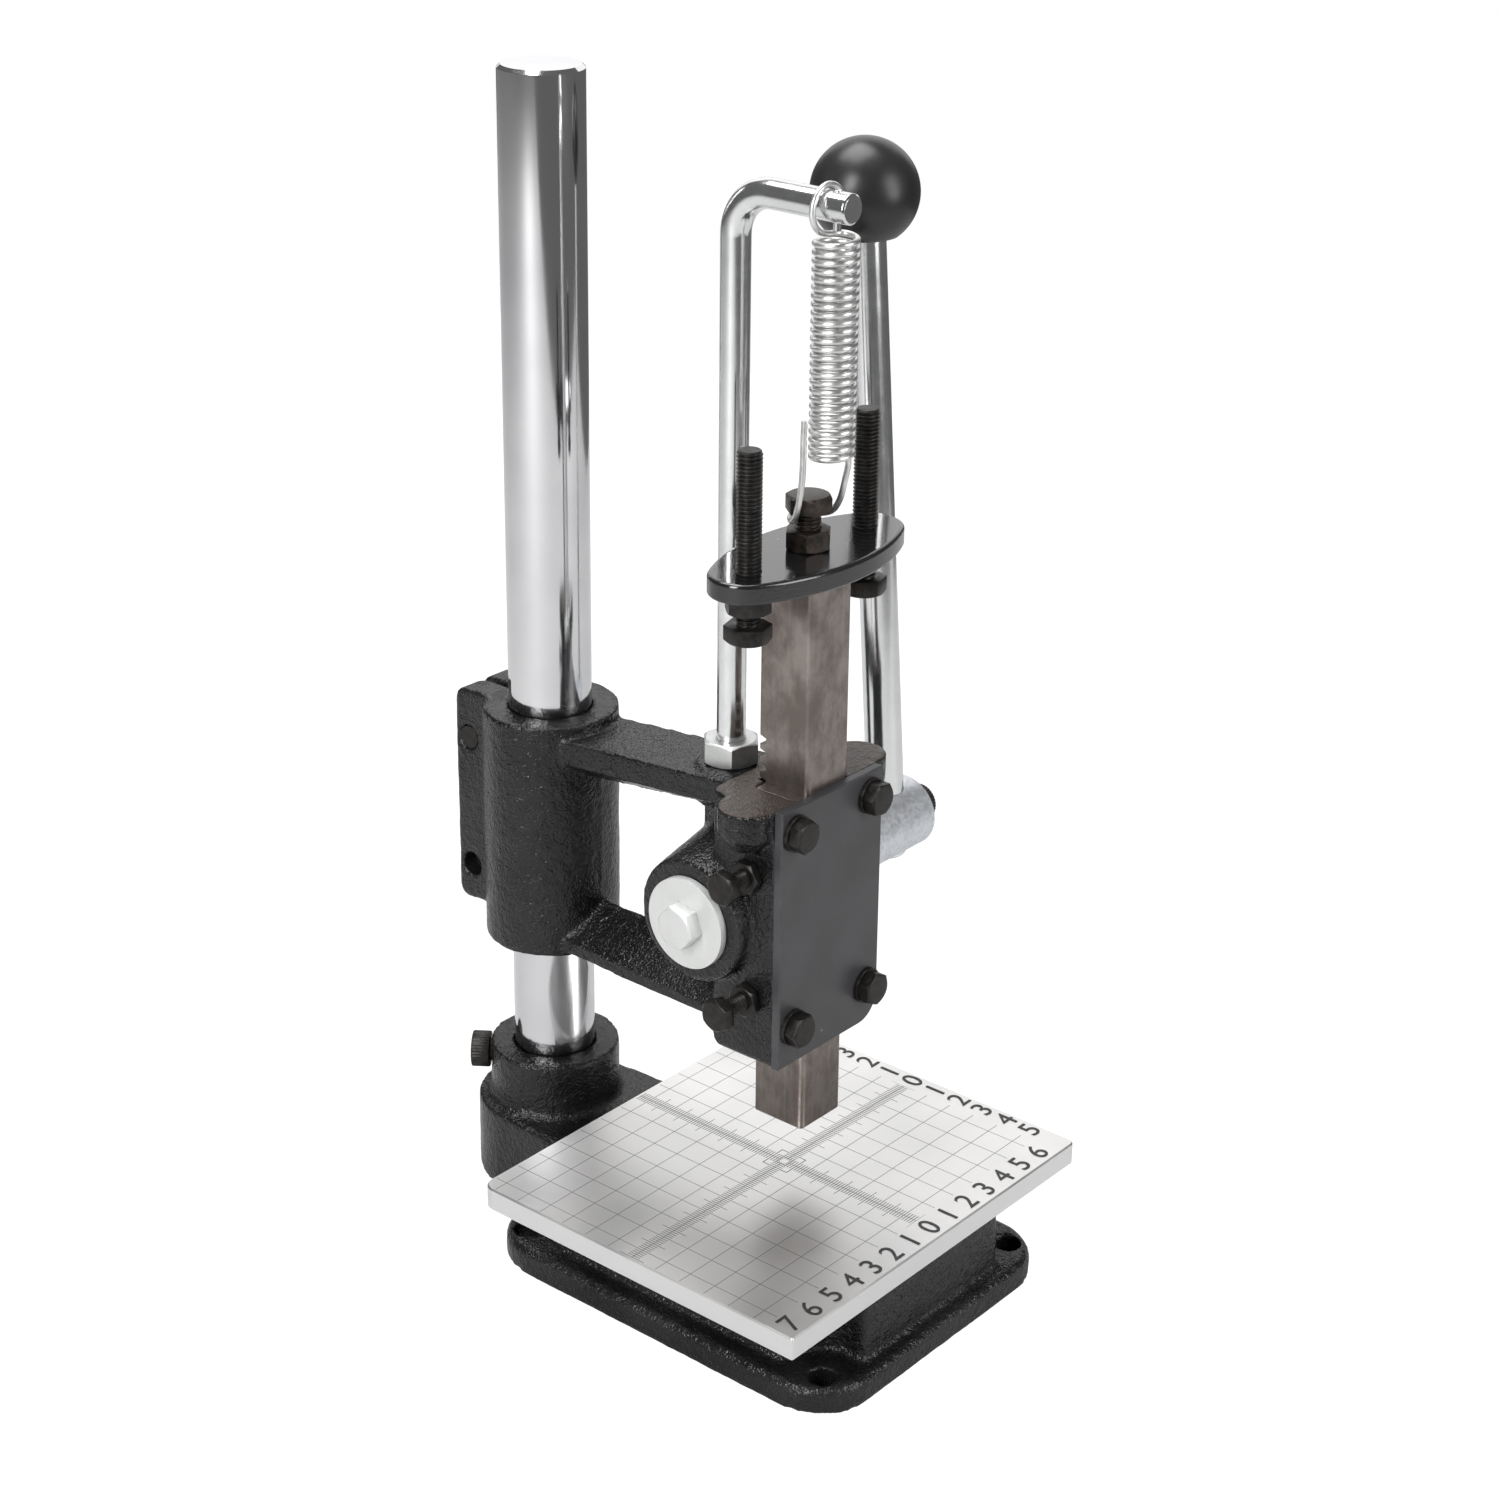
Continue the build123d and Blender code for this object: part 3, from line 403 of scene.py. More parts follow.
# the numbers, upright, count the centimetres from zero both ways
number_ink, tree, shader = finish("number_ink", Roughness=0.45)
at = node(tree, "TexCoord").outputs["Object"]
worn_ink = grain(tree, at, 900.0, 3.0)
feed(tree, shader,
     Base_Color=tint(tree, spread(tree, worn_ink, 0.3, 0.75),
                     (0.008, 0.008, 0.008), (0.03, 0.03, 0.03)),
     Roughness=spread(tree, worn_ink, 0.3, 0.8, 0.4, 0.55))
front_row, right_column = -6.02, 7.0
number_at = [(x, front_row) for x in range(-7, 7)] + [(right_column, y) for y in range(-5, 7)]
numbers = []
for cm_x, cm_y in number_at:
    count = abs(cm_x) if cm_y == front_row else abs(cm_y)
    digit = begin(bpy.ops.object.text_add, "number",
                  location=(cm_x * 0.01, cm_y * 0.01 + zero_y, plate_top + 0.1 * mm))
    digit.data.body = str(count)
    digit.data.size = 11.2 * mm
    digit.data.align_x = "CENTER"
    digit.data.align_y = "CENTER"
    digit.data.extrude = 0.00006
    bpy.ops.object.convert(target="MESH")
    box_x = [v.co.x for v in digit.data.vertices]
    box_y = [v.co.y for v in digit.data.vertices]
    shift = Vector(((min(box_x) + max(box_x)) / 2, (min(box_y) + max(box_y)) / 2, 0))
    digit.data.transform(Matrix.Translation(-shift))
    numbers.append(settle(digit))
bpy.ops.object.select_all(action="DESELECT")
for digit in numbers:
    digit.select_set(True)
bpy.context.view_layer.objects.active = numbers[0]
bpy.ops.object.join()
numbers = bpy.context.object
numbers.name = numbers.data.name = "platen_numbers"
clothe(numbers, number_ink)
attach(numbers, "base")

# ---------------------------------------------------------------- black screws
# Bought fasteners of steel with a black oxide skin, slightly brown where it is thin.
# The platen's screws are hidden; the column's set screw and the clamp bolts stand behind.
def black_oxide(name, tone, brown):
    material, tree, shader = finish(name, Metallic=0.55, Specular_IOR_Level=0.5)
    at = node(tree, "TexCoord").outputs["Object"]
    blot = grain(tree, at, 420.0, 4.0, 0.6)
    fine = grain(tree, at, 2400.0)
    edges = node(tree, "Group", {"Radius": 0.0004, "Patch": 500.0}, node_tree=edge_wear_highlight).outputs
    base = tint(tree, spread(tree, blot, 0.35, 0.68), tone, brown)
    base = tint(tree, reckon(tree, "MULTIPLY", edges["Edge"], 0.5), base, (0.13, 0.125, 0.12))
    feed(tree, shader, Base_Color=base, Roughness=spread(tree, blot, 0.3, 0.75, 0.3, 0.46),
         Normal=bumped(tree, 0.3, 0.0001, fine, edges["Normal"]))
    return material


black_steel = black_oxide("black_oxide", (0.014, 0.0135, 0.013), (0.03, 0.026, 0.023))
for name in ("platen_screws", "clamp_bolts", "tool_set_screw"):
    clothe(name, black_steel)

# ---------------------------------------------------------------- column
# Ground bar of steel with hard chrome, 28 mm across, held in the base by its set screw.
# Rings of painted shade, darker and rougher, lie where it enters the castings, set for the head's
# present height.
chrome, tree, shader = finish("hard_chrome", Metallic=1.0)
at = node(tree, "TexCoord").outputs["Object"]
ground = grain(tree, at, 1.0, 3.0, stretch=(900, 900, 12))
haze = grain(tree, at, 22.0, 4.0)
high = node(tree, "SeparateXYZ", {0: at}).outputs[2]
shade_ring_noise = grain(tree, at, 160.0, 3.0)


# a soft ring of painted shade round a height on the column
def oil_ring(height, reach):
    away = reckon(tree, "ABSOLUTE", reckon(tree, "SUBTRACT", high, height))
    away = reckon(tree, "ADD", away, reckon(tree, "MULTIPLY", shade_ring_noise, reach))
    return spread(tree, away, reach * 1.5, reach * 0.55)


at_socket, at_sleeve, under_sleeve = 0.0495, 0.177, 0.093
# painted shade where the column meets the base and the head's sleeve
painted_junction_shade = reckon(tree, "MAXIMUM", oil_ring(at_socket, 4 * mm),
             reckon(tree, "MAXIMUM", oil_ring(at_sleeve, 4 * mm), oil_ring(under_sleeve, 2 * mm)))
plated = tint(tree, spread(tree, haze, 0.3, 0.7), (0.80, 0.80, 0.81), (0.70, 0.70, 0.72))
feed(tree, shader,
     Base_Color=tint(tree, reckon(tree, "MULTIPLY", painted_junction_shade, 0.75), plated, (0.10, 0.095, 0.09)),
     Roughness=reckon(tree, "ADD", spread(tree, haze, 0.2, 0.8, 0.07, 0.14),
                      reckon(tree, "MULTIPLY", painted_junction_shade, 0.12)),
     Normal=bumped(tree, 0.08, 0.00004, ground))
clothe("column", chrome)

# ---------------------------------------------------------------- head casting
# Grey iron again: clamp sleeve, two arms and the housing of ram and pinion in one.
# Bores, slit, slot and front face are machined; its top is rubbed bare and brown.
front_y = -0.02203
axle_y, axle_z = 0.008, 0.137
plug = begin(bpy.ops.mesh.primitive_cube_add, "front_allowance", size=1,
             location=(-0.001, front_y - 0.002, 0.1376), scale=(0.05, 0.006, 0.0892))
head = sand_cast("head_casting", "head_cast", 0.87 * mm, 5, extra=[settle(plug)], seam=True)
# front face, column bore, slit between the ears, slots of the ram and of the gib beside it
mill(head, (-0.06, front_y - 0.012, 0.08), (0.06, front_y, 0.20))
drill(head, (0, column_y, 0.08), (0, 0, 1), column_bore, 120 * mm, 96)
mill(head, (-0.0015, 0.100, 0.085), (0.0015, 0.14, 0.19))
mill(head, (-0.01003, front_y - 0.003, 0.08), (0.01003, -0.00197, 0.20))
mill(head, (-0.01506, front_y - 0.003, 0.08), (-0.0095, front_y + 0.0173, 0.20))
for clamp_z in (0.112, 0.160):
    drill(head, (-0.02, 0.1255, clamp_z), (1, 0, 0), 4.05 * mm, 40 * mm, 40)
drill(head, (-0.035, axle_y, axle_z), (1, 0, 0), 12.55 * mm, 70 * mm)
clothe(head, cast_paint("cast_paint_head", worn=(0.1816, 0.0022)))
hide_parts("head_casting")
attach(head, "head")

# ---------------------------------------------------------------- bright steel
# The ram and the gib beside it are drawn steel bar, left bare: brown, with grey streaks.
# The ram runs in grease, so it is stained in patches.
bare, tree, shader = finish("drawn_steel", Metallic=0.9)
at = node(tree, "TexCoord").outputs["Object"]
streak = grain(tree, at, 1.0, 4.0, 0.6, stretch=(700, 700, 18))
stain = grain(tree, at, 1.0, 5.0, 0.62, stretch=(90, 90, 60))
speck = grain(tree, at, 1500.0)
edges = node(tree, "Group", {"Radius": 0.0006, "Patch": 90.0}, node_tree=edge_wear_highlight).outputs
steel = tint(tree, spread(tree, stain, 0.36, 0.66), (0.18, 0.152, 0.136), (0.32, 0.285, 0.26))
streaky = reckon(tree, "MULTIPLY", spread(tree, streak, 0.5, 0.75), 0.25)
steel = tint(tree, streaky, steel, (0.4, 0.38, 0.35))
# corners painted lighter: partly wear, partly painted highlight along the bar's edges
steel = tint(tree, reckon(tree, "MULTIPLY", edges["Edge"], 0.7), steel, (0.6, 0.57, 0.53))
height = reckon(tree, "ADD", reckon(tree, "MULTIPLY", streak, 0.4),
                reckon(tree, "MULTIPLY", speck, 0.5))
feed(tree, shader, Base_Color=steel, Roughness=spread(tree, stain, 0.3, 0.7, 0.42, 0.3),
     Normal=bumped(tree, 0.3, 0.0001, height, edges["Normal"]))
for name in ("ram", "gib"):
    clothe(name, bare)

# ---------------------------------------------------------------- front cover
# Steel plate, 3 mm, with a smooth satin black coat; it closes the ram's slot.
# Dust has settled on it in fine white specks.
dust = bpy.data.node_groups.new("dust_specks", "ShaderNodeTree")
socket(dust, "Spacing", "Float", 260.0)
socket(dust, "Speck", "Float", out=True)
g_start = dust.nodes.new("NodeGroupInput")
g_end = dust.nodes.new("NodeGroupOutput")
g_at = node(dust, "TexCoord").outputs["Object"]
g_cell = node(dust, "TexVoronoi", {"Vector": g_at, "Scale": g_start.outputs["Spacing"]})
g_near = spread(dust, g_cell.outputs["Distance"], 0.085, 0.05)
g_pick = node(dust, "SeparateColor", {0: g_cell.outputs["Color"]}).outputs[0]
g_pick = reckon(dust, "GREATER_THAN", g_pick, 0.93)
dust.links.new(reckon(dust, "MULTIPLY", g_near, g_pick), g_end.inputs["Speck"])


def black_coat(name, colour, rough, coat=0.0, peel=0.1):
    material, tree, shader = finish(name, Specular_IOR_Level=0.5, Coat_Weight=coat,
                                    Coat_Roughness=0.06)
    at = node(tree, "TexCoord").outputs["Object"]
    cloud = grain(tree, at, 40.0, 3.0)
    fine = grain(tree, at, 1100.0)
    specks = node(tree, "Group", {"Spacing": 230.0}, node_tree=dust).outputs[0]
    edges = node(tree, "Group", {"Radius": 0.0005, "Patch": 200.0}, node_tree=edge_wear_highlight).outputs
    base = tint(tree, spread(tree, cloud, 0.3, 0.7), colour, [c * 1.5 for c in colour])
    base = tint(tree, reckon(tree, "MULTIPLY", edges["Edge"], 0.3), base, (0.2, 0.2, 0.2))
    base = tint(tree, reckon(tree, "MULTIPLY", specks, 0.7), base, (0.5, 0.5, 0.5))
    feed(tree, shader, Base_Color=base,
         Roughness=spread(tree, cloud, 0.25, 0.75, rough - 0.05, rough + 0.05),
         Normal=bumped(tree, peel, 0.0002, fine, edges["Normal"]))
    return material


clothe("front_cover", black_coat("cover_coat", (0.04, 0.04, 0.043), 0.4))
clothe("cover_washers", black_steel)

# ---------------------------------------------------------------- screws with threads
# Hexagon bolts and nuts: heads turned to a 30 degree chamfer, threads rolled.
# Each is drawn once at its own size and set in place.


def drawn_line(name, points):
    line = begin(bpy.ops.mesh.primitive_plane_add, name, size=0.001)
    bpy.ops.object.mode_set(mode="EDIT")
    bpy.ops.mesh.select_mode(type="VERT")
    bpy.ops.mesh.select_all(action="SELECT")
    bpy.ops.mesh.merge(type="CENTER")
    bpy.ops.transform.translate(value=points[0])
    for one, two in zip(points, points[1:]):
        step = Vector(two) - Vector(one)
        bpy.ops.mesh.extrude_region_move(TRANSFORM_OT_translate={"value": step})
    bpy.ops.object.mode_set(mode="OBJECT")
    return line


def rolled_thread(radius, pitch, length):
    # from z 0 to length, ends chamfered
    root = radius - 0.61 * pitch
    turns = int(length / pitch) + 3
    line = drawn_line("thread", [
        (root, 0, -pitch), (root, 0, -0.86 * pitch),
        (radius, 0, -0.54 * pitch), (radius, 0, -0.42 * pitch), (root, 0, 0)])
    shape(line, "SCREW", axis="Z", angle=2 * pi, screw_offset=pitch, iterations=turns,
          steps=20, render_steps=20, use_merge_vertices=True, merge_threshold=1e-6)
    bpy.ops.object.mode_set(mode="EDIT")
    bpy.ops.mesh.select_all(action="SELECT")
    bpy.ops.mesh.remove_doubles(threshold=1e-6)
    bpy.ops.mesh.select_all(action="DESELECT")
    bpy.ops.mesh.select_mode(type="EDGE")
    bpy.ops.mesh.select_non_manifold()
    bpy.ops.mesh.fill_holes(sides=0)
    bpy.ops.mesh.select_all(action="SELECT")
    bpy.ops.mesh.normals_make_consistent(inside=False)
    bpy.ops.object.mode_set(mode="OBJECT")
    blank = begin(bpy.ops.mesh.primitive_cylinder_add, "blank", vertices=40,
                  radius=radius + 0.01 * mm, depth=length, location=(0, 0, length / 2))
    settle(blank)
    shape(blank, "BEVEL", width=0.6 * pitch, segments=1, limit_method="ANGLE", angle_limit=1.0)
    carve(line, blank, "INTERSECT")
    return line


def hexagon(name, flats, height, twist, both_ends=False, hole=0.0):
    # z 0 to height; the chamfer is at the top, or at both ends of a nut
    block = begin(bpy.ops.mesh.primitive_cylinder_add, name, vertices=6,
                  radius=flats / 2 / cos(pi / 6), depth=height,
                  location=(0, 0, height / 2), rotation=(0, 0, twist))
    settle(block)
    face_r = flats * 0.475
    for end in ((1, -1) if both_ends else (1,)):
        cone_h = height + mm
        cone = begin(bpy.ops.mesh.primitive_cone_add, "turned", vertices=72, depth=cone_h,
                     radius1=face_r + cone_h * 1.732, radius2=face_r,
                     location=(0, 0, height / 2 - end * mm / 2),
                     rotation=(0 if end > 0 else pi, 0, 0))
        carve(block, settle(cone), "INTERSECT")
    if hole:
        drill(block, (0, 0, -mm), (0, 0, 1), hole, height + 2 * mm, 40)
    shape(block, "BEVEL", width=0.12 * mm, segments=2, limit_method="ANGLE",
          angle_limit=radians(20))
    return block


def joined(name, parts):
    bpy.ops.object.select_all(action="DESELECT")
    for part in parts:
        part.select_set(True)
    bpy.context.view_layer.objects.active = parts[0]
    if len(parts) > 1:
        bpy.ops.object.join()
    whole = bpy.context.object
    whole.name = whole.data.name = name
    bpy.ops.object.shade_smooth_by_angle(angle=radians(32))
    return whole


def aim(piece, at, along):
    # its +Z goes along a direction, its origin to a point
    turn = Vector(along).to_track_quat("Z", "Y").to_matrix().to_4x4()
    piece.data.transform(Matrix.Translation(Vector(at)) @ turn)
    return piece


def fixed(name, parts, material, stands_for, body):
    whole = joined(name, parts)
    clothe(whole, material)
    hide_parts(stands_for)
    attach(whole, body)
    return whole


# cover bolts, M6: their shanks are out of sight in the casting
m6_flats, m8_flats = 10 * mm, 13 * mm
m6_head, m8_head = 4 * mm, 5.3 * mm
cover_head = 4.2 * mm
head_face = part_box("cover_bolts")[0].y
cover_heads = []
for number, (x, z) in enumerate([(-0.0195, 0.1065), (-0.0195, 0.174),
                                 (0.0175, 0.1065), (0.0175, 0.174)]):
    cap = hexagon("cover_bolt", m6_flats, cover_head, radians(30 + 17 * number))
    cover_heads.append(aim(cap, (x, head_face + cover_head, z), (0, -1, 0)))
fixed("cover_bolt_heads", cover_heads, black_steel, "cover_bolts", "head")

# gib bolts, M6, with thin lock nuts
ram_y = -0.012
wall_x = -0.02602
gib_parts, nuts = [], []
for z, long, twist in ((0.1146, 23.3 * mm, 2), (0.1576, 21.1 * mm, 20)):
    shank = rolled_thread(3 * mm, 1 * mm, long)
    gib_parts.append(aim(shank, (-0.015, ram_y, z), (-1, 0, 0)))
    cap = hexagon("gib_bolt", m6_flats, m6_head, radians(twist))
    gib_parts.append(aim(cap, (-0.015 - long, ram_y, z), (-1, 0, 0)))
    nut = hexagon("lock_nut", m6_flats, 3.2 * mm, radians(twist + 10), True, 3.02 * mm)
    nuts.append(aim(nut, (wall_x, ram_y, z), (-1, 0, 0)))
fixed("gib_bolts_threaded", gib_parts, black_steel, "gib_bolts", "head")
fixed("gib_nuts_turned", nuts, black_steel, "gib_lock_nuts", "head")

# stop bolts, M8 x 60, heads down, through the cap plate, each with a nut under it
stop_x = 0.028
m8_bore = 4.02 * mm
m8_nut = 6.5 * mm
stop_parts, nuts = [], []
for x in (-stop_x, stop_x):
    shank = rolled_thread(4 * mm, 1.25 * mm, 55 * mm)
    stop_parts.append(aim(shank, (x, ram_y, 0.242), (0, 0, 1)))
    cap = hexagon("stop_bolt", m8_flats, m8_head, radians(14))
    stop_parts.append(aim(cap, (x, ram_y, 0.242), (0, 0, -1)))
fixed("stop_bolts_threaded", stop_parts, black_steel, "stop_bolts", "ram_body")
for x in (-stop_x, stop_x):
    nut = hexagon("stop_nut", m8_flats, m8_nut, radians(20), True, m8_bore)
    nuts.append(aim(nut, (x, ram_y, 0.24598), (0, 0, 1)))
fixed("stop_nuts_turned", nuts, black_steel, "stop_nuts", "ram_body")

# cap bolt and nut, M8, brown with age: they hold the cap plate on the ram
aged_steel = black_oxide("aged_oxide", (0.022, 0.0175, 0.015), (0.06, 0.045, 0.037))
shank = aim(rolled_thread(4 * mm, 1.25 * mm, 34 * mm), (0, ram_y, 0.2375), (0, 0, 1))
cap = aim(hexagon("cap_bolt", m8_flats, m8_head, radians(22)), (0, ram_y, 0.271), (0, 0, 1))
fixed("cap_bolt_threaded", [shank, cap], aged_steel, "cap_bolt", "ram_body")
nut = hexagon("cap_nut_turned", m8_flats, m8_nut, radians(5), True, m8_bore)
fixed("cap_nut_turned", [aim(nut, (0, ram_y, 0.25902), (0, 0, 1))],
      aged_steel, "cap_nut", "ram_body")

# ---------------------------------------------------------------- cap plate
# Flame-cut steel plate, 6.5 mm, brushed over with glossy black lacquer.
# The lacquer is rubbed to grey along its edges.
clothe("cap_plate", black_coat("cap_lacquer", (0.008, 0.008, 0.008), 0.16, coat=0.6, peel=0.22))

# ---------------------------------------------------------------- zinc plated steel
# Hook rod, its nut and pin, pinion shaft, lever rod, washer and axle bolt are zinc plated.
# Rods keep their drawn streaks; the shaft's end shows the plating's faint spangle.
def zinc_plate(name, tone, streaks, spangle, depth, rough, metal=1.0):
    material, tree, shader = finish(name, Metallic=metal)
    at = node(tree, "TexCoord").outputs["Object"]
    drawn = grain(tree, at, 1.0, 3.0, stretch=streaks)
    cell = node(tree, "TexVoronoi", {"Vector": at, "Scale": 900.0, "Randomness": 1.0})
    cell = node(tree, "SeparateColor", {0: cell.outputs["Color"]}).outputs[0]
    cloud = grain(tree, at, 150.0, 5.0, 0.65)
    mottle = reckon(tree, "ADD", reckon(tree, "MULTIPLY", cell, spangle),
                    reckon(tree, "MULTIPLY", cloud, 1 - spangle))
    dark = [c * (1 - depth) for c in tone]
    height = reckon(tree, "ADD", reckon(tree, "MULTIPLY", drawn, 0.5),
                    reckon(tree, "MULTIPLY", mottle, spangle * 0.2))
    edges = node(tree, "Group", {"Radius": 0.0003, "Patch": 500.0}, node_tree=edge_wear_highlight).outputs
    feed(tree, shader, Base_Color=tint(tree, spread(tree, mottle, 0.3, 0.65), dark, tone),
         Roughness=spread(tree, mottle, 0.2, 0.8, rough, rough * 1.25),
         Normal=bumped(tree, 0.08, 0.00005, height, edges["Normal"]))
    return material


zinc_rod = zinc_plate("zinc_rod", (0.84, 0.845, 0.85), (800, 800, 9), 0.1, 0.1, 0.15)
zinc_nut = zinc_plate("zinc_nut", (0.62, 0.63, 0.62), (300, 300, 300), 0.2, 0.08, 0.4)
zinc_shaft = zinc_plate("zinc_spangle", (0.72, 0.745, 0.78), (9, 700, 700),
                        0.4, 0.14, 0.36, 0.8)
zinc_dull = zinc_plate("zinc_dull", (0.74, 0.75, 0.74), (200, 200, 200), 0.2, 0.04, 0.5, 0.6)
for name in ("hook_rod", "hook_pin", "lever_rod"):
    clothe(name, zinc_rod)
clothe("pinion_shaft", zinc_shaft)
clothe("axle_washer", zinc_dull)
nut = hexagon("rod_nut", 17 * mm, 8 * mm, radians(12), True, 4.75 * mm)
fixed("hook_rod_nut_turned", [aim(nut, (0, 0.018, 0.17952), (0, 0, 1))],
      zinc_nut, "hook_rod_nut", "head")
cap = aim(hexagon("axle_head", m8_flats, m8_head, radians(20)),
          (-0.03354, axle_y, axle_z), (-1, 0, 0))
stem = begin(bpy.ops.mesh.primitive_cylinder_add, "axle_stem", vertices=32, radius=4 * mm,
             depth=18 * mm, location=(-0.0245, axle_y, axle_z), rotation=(0, pi / 2, 0))
fixed("axle_bolt_turned", [cap, settle(stem)], zinc_dull, "axle_bolt", "lever")

# ---------------------------------------------------------------- socket cap screws
# The column's set screw and the lever's lock screw have knurled round heads and a key's hexagon.
# Both are black oxide, like the bolts.


def knurled_head(name, radius, height, key):
    # z 0 to height, ridged round its side, with a key socket in its top
    ridges = 36
    drum = begin(bpy.ops.mesh.primitive_cylinder_add, name, vertices=2 * ridges,
                 radius=radius, depth=height, location=(0, 0, height / 2))
    settle(drum)
    for corner in drum.data.vertices:
        angle = atan2(corner.co.y, corner.co.x)
        if round(angle / (2 * pi) * 2 * ridges) % 2:
            corner.co.xy *= 0.965
    shape(drum, "BEVEL", width=0.35 * mm, segments=2, limit_method="ANGLE",
          angle_limit=radians(60))
    tool = begin(bpy.ops.mesh.primitive_cylinder_add, "key", vertices=6,
                 radius=key / 2 / cos(pi / 6), depth=height, location=(0, 0, height))
    carve(drum, settle(tool))
    return drum


set_angle = radians(127)
set_along = Vector((cos(set_angle), sin(set_angle), 0))
set_head = Vector((0, column_y, 0.0435)) + set_along * 22.8 * mm
drum = aim(knurled_head("set_screw", 6.3 * mm, 6.4 * mm, 6 * mm), set_head, set_along)
stem = begin(bpy.ops.mesh.primitive_cylinder_add, "set_stem", vertices=32,
             radius=4 * mm, depth=9 * mm)
fixed("column_set_screw_knurled", [drum, aim(stem, set_head - set_along * 4.2 * mm, set_along)],
      black_steel, "column_set_screw", "base")
drum = aim(knurled_head("lock_screw", 6.5 * mm, 8 * mm, 6 * mm),
           (0.08202, axle_y, axle_z), (1, 0, 0))
stem = begin(bpy.ops.mesh.primitive_cylinder_add, "lock_stem", vertices=32,
             radius=4 * mm, depth=6 * mm)
fixed("lever_lock_screw_knurled", [drum, aim(stem, (0.0795, axle_y, axle_z), (1, 0, 0))],
      black_steel, "lever_lock_screw", "lever")

# ---------------------------------------------------------------- lever knob
# Moulded ball of black plastic, satin, screwed on the lever's end.
knob_paint, tree, shader = finish("moulded_plastic", Specular_IOR_Level=0.5)
at = node(tree, "TexCoord").outputs["Object"]
cloud = grain(tree, at, 70.0, 3.0)
fine = grain(tree, at, 1900.0)
specks = node(tree, "Group", {"Spacing": 300.0}, node_tree=dust).outputs[0]
plastic = tint(tree, spread(tree, cloud, 0.3, 0.7), (0.012, 0.012, 0.013), (0.017, 0.017, 0.018))
plastic = tint(tree, reckon(tree, "MULTIPLY", specks, 0.12), plastic, (0.3, 0.3, 0.3))
feed(tree, shader, Base_Color=plastic, Roughness=spread(tree, cloud, 0.25, 0.75, 0.3, 0.38),
     Normal=bumped(tree, 0.1, 0.00008, fine))
clothe("lever_knob", knob_paint)

# ---------------------------------------------------------------- return spring
# Spring wire, 2 mm, wound in 26 turns; its top loop hangs on the hook rod.
# Below, one leg goes round the cap bolt's neck and ends in the air at the left.
spring_paint, tree, shader = finish("spring_wire", Metallic=1.0)
at = node(tree, "TexCoord").outputs["Object"]
cloud = grain(tree, at, 300.0, 4.0)
fine = grain(tree, at, 2400.0)
feed(tree, shader,
     Base_Color=tint(tree, spread(tree, cloud, 0.3, 0.7), (0.72, 0.72, 0.71), (0.86, 0.86, 0.85)),
     Roughness=spread(tree, cloud, 0.2, 0.8, 0.3, 0.4),
     Normal=bumped(tree, 0.1, 0.00006, fine))

# its route, in millimetres: top loop, coil, and the leg round the cap bolt's neck
loop_r, coil_r, pitch, turns = 7.2, 6.2, 2.6, 26
loop_y, coil_x, coil_y = -17, 0.5, -20
wire_r, rod_r, play = 1, 4.7, 0.35
loop_z = 366 - (loop_r - wire_r - rod_r - play)
coil_top = 356.6
coil_low = coil_top - pitch * turns
route = []
for step in range(-12, 17):
    a = radians(step * 10)
    route.append((-loop_r * sin(a), loop_y, loop_z + loop_r * cos(a)))


def eased(one, along_one, two, along_two, pull, count):
    # points of a smooth bend from one to two, which leaves and arrives along given directions
    one, two = Vector(one), Vector(two)
    a = one + Vector(along_one).normalized() * pull
    b = two - Vector(along_two).normalized() * pull
    for step in range(1, count):
        t = step / count
        u = 1 - t
        yield tuple(one * u ** 3 + a * 3 * t * u ** 2 + b * 3 * t * t * u + two * t ** 3)


loop_end = radians(160)
coil_start = (coil_x + coil_r, coil_y, coil_top)
coil_along = (0, -1, -0.07)
route += list(eased(route[-1], (-cos(loop_end), 0, -sin(loop_end)), coil_start, coil_along, 4.5, 7))
for step in range(turns * 24 + 1):
    a = -2 * pi * step / 24
    route.append((coil_x + coil_r * cos(a), coil_y + coil_r * sin(a), coil_top - pitch * step / 24))
leg = [((7.9, coil_y, coil_low - 6.5), (0.08, 0.3, -0.95)),
       ((8.8, -15, 270), (0, 0.6, -0.8)),
       ((0, -6.55, 268.8), (-1, 0, 0)),
       ((-8.8, -14.2, 272), (0, -0.3, 0.95)),
       ((-8, -16.2, 302), (0.03, -0.03, 1))]
last, last_along = route[-1], coil_along
for point, towards in leg:
    reach = (Vector(point) - Vector(last)).length
    route += list(eased(last, last_along, point, towards, reach * 0.36, 8))
    route.append(point)
    last, last_along = point, towards
wire_curve = bpy.data.curves.new("spring_wire", "CURVE")
wire_curve.dimensions = "3D"
wire_line = wire_curve.splines.new("POLY")
wire_line.points.add(len(route) - 1)
for point, place in zip(wire_line.points, route):
    point.co = (*(c * mm for c in place), 1)
wire_curve.bevel_depth = wire_r * mm
wire_curve.bevel_resolution = 3
wire_curve.use_fill_caps = True
spring = bpy.data.objects.new("spring_wound", wire_curve)
bpy.context.scene.collection.objects.link(spring)
bpy.ops.object.select_all(action="DESELECT")
spring.select_set(True)
bpy.context.view_layer.objects.active = spring
bpy.ops.object.convert(target="MESH")
spring = bpy.context.object
bpy.ops.object.shade_smooth()
clothe(spring, spring_paint)
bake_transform(spring)
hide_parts("return_spring")

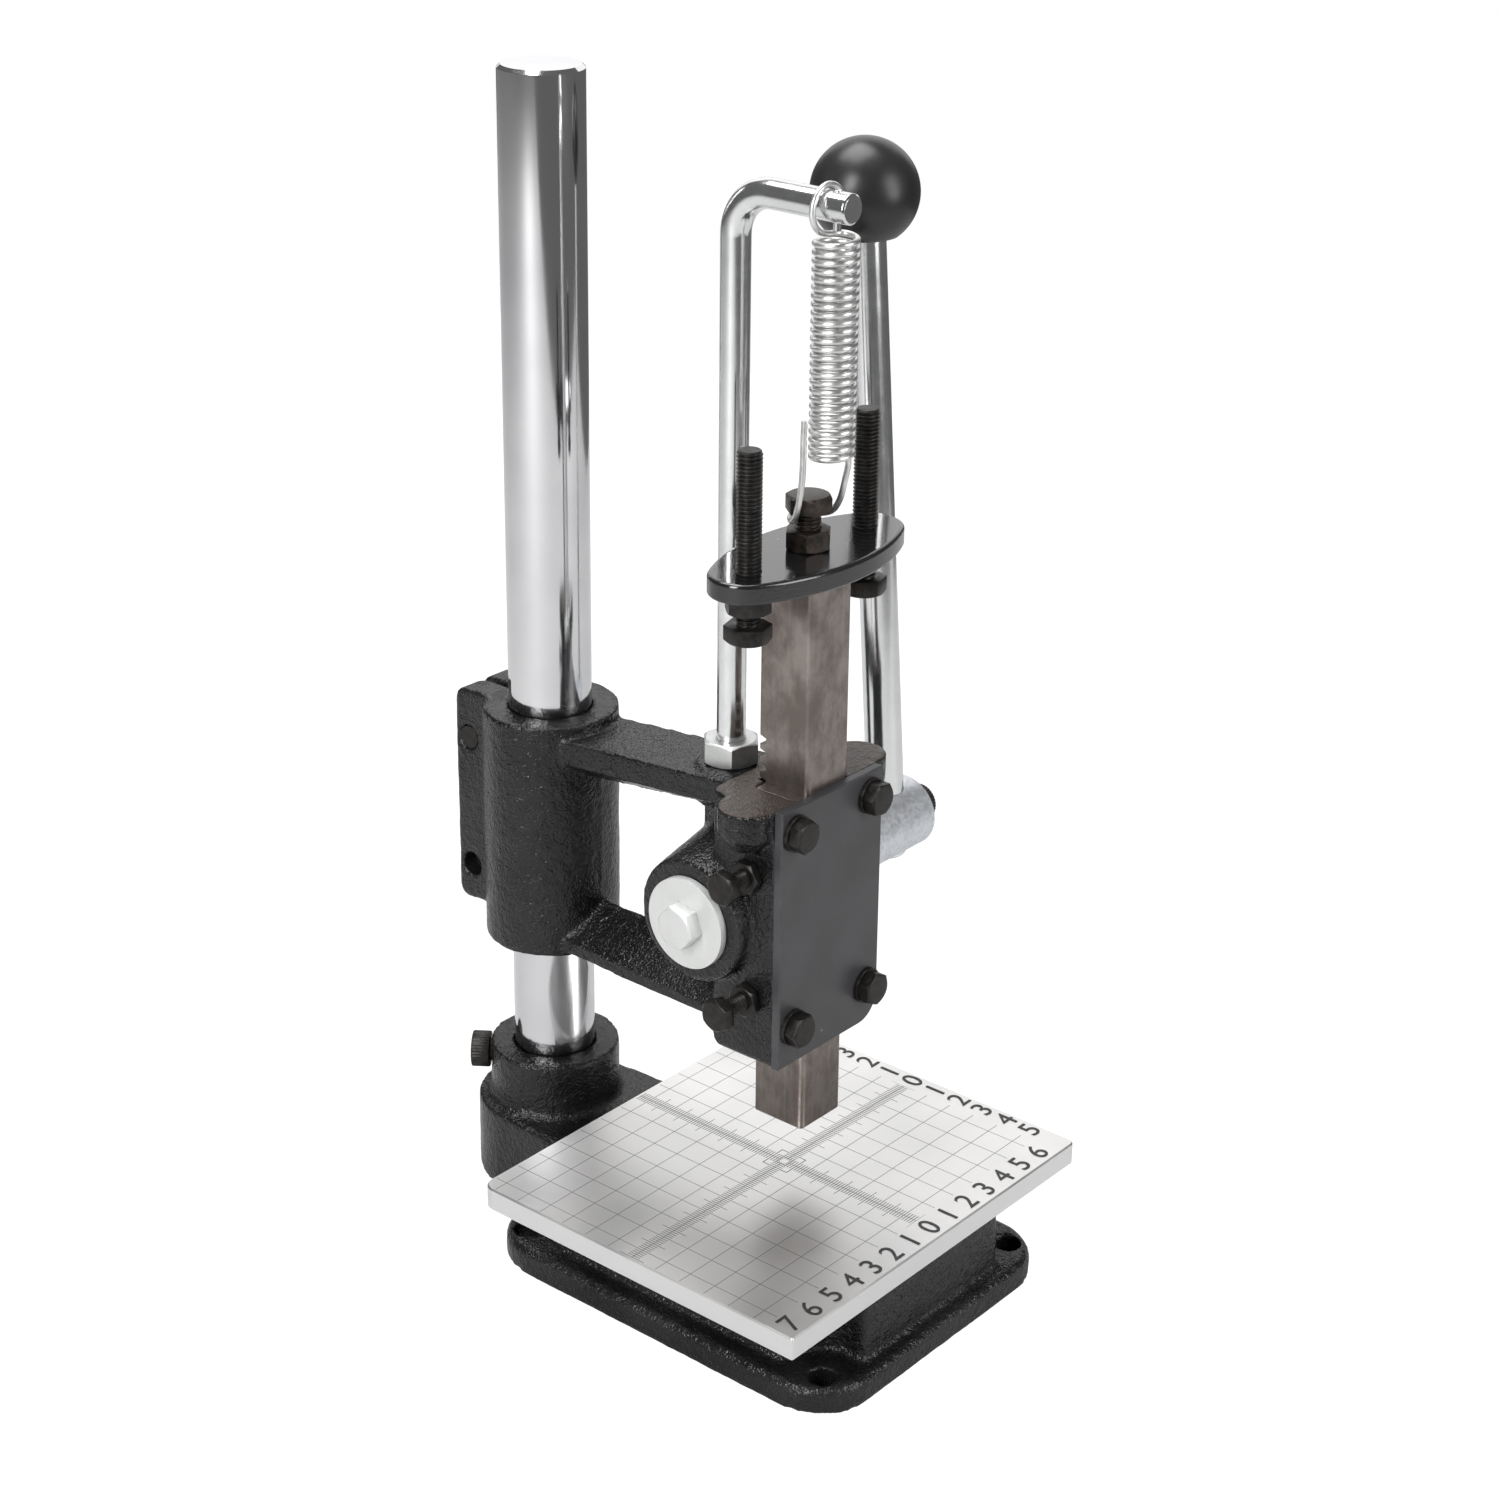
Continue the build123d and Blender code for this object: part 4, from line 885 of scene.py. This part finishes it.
# ---------------------------------------------------------------- studio
# White table under soft lamps; it ends in front and at the right, and the darker room beyond
# gives the bright metal its bands. The camera itself sees only white there.
floor = begin(bpy.ops.mesh.primitive_plane_add, "floor", size=3.6,
              location=(-1.0, 1.02, -0.0003))
floor_paint, tree, shader = finish("white_sweep", Roughness=0.8)
shader.inputs["Base Color"].default_value = (0.55, 0.55, 0.55, 1)
glow = node(tree, "Emission", {"Color": (1, 1, 1, 1), "Strength": 1.2})
direct = node(tree, "LightPath").outputs["Is Camera Ray"]
direct = reckon(tree, "MULTIPLY", direct, 0.86)
blend = node(tree, "MixShader", {0: direct, 1: shader.outputs[0], 2: glow.outputs[0]})
tree.links.new(blend.outputs[0], tree.nodes["Material Output"].inputs["Surface"])
floor.data.materials.append(floor_paint)

world = bpy.data.worlds.new("studio")
bpy.context.scene.world = world
world.use_nodes = True
tree = world.node_tree
background = tree.nodes["Background"]
seen = node(tree, "LightPath").outputs["Is Camera Ray"]
room = 0.13
strength = reckon(tree, "ADD", reckon(tree, "MULTIPLY", seen, 1 - room), room)
tree.links.new(strength, background.inputs["Strength"])
background.inputs["Color"].default_value = (1, 1, 1, 1)


def lamp(name, at, aim_at, size, power):
    light = bpy.data.lights.new(name, "AREA")
    light.shape = "RECTANGLE"
    light.size, light.size_y = size
    light.energy = power
    holder = bpy.data.objects.new(name, light)
    bpy.context.scene.collection.objects.link(holder)
    holder.location = at
    holder.rotation_mode = "QUATERNION"
    holder.rotation_quaternion = (Vector(aim_at) - Vector(at)).to_track_quat("-Z", "Y")
    holder.visible_camera = False


lamp("key", (-1.4, -0.1, 0.9), (0, 0, 0.18), (0.5, 1.2), 22)
lamp("fill", (0.3, -1.4, 0.7), (0, 0, 0.18), (0.6, 1.1), 12)
lamp("top", (0.1, 0.4, 1.6), (0, 0, 0.1), (1.0, 1.0), 21)
lamp("back", (1.35, 0.95, 0.95), (0, 0, 0.1), (2.0, 1.3), 8.5)

bpy.context.scene.view_settings.view_transform = "Standard"
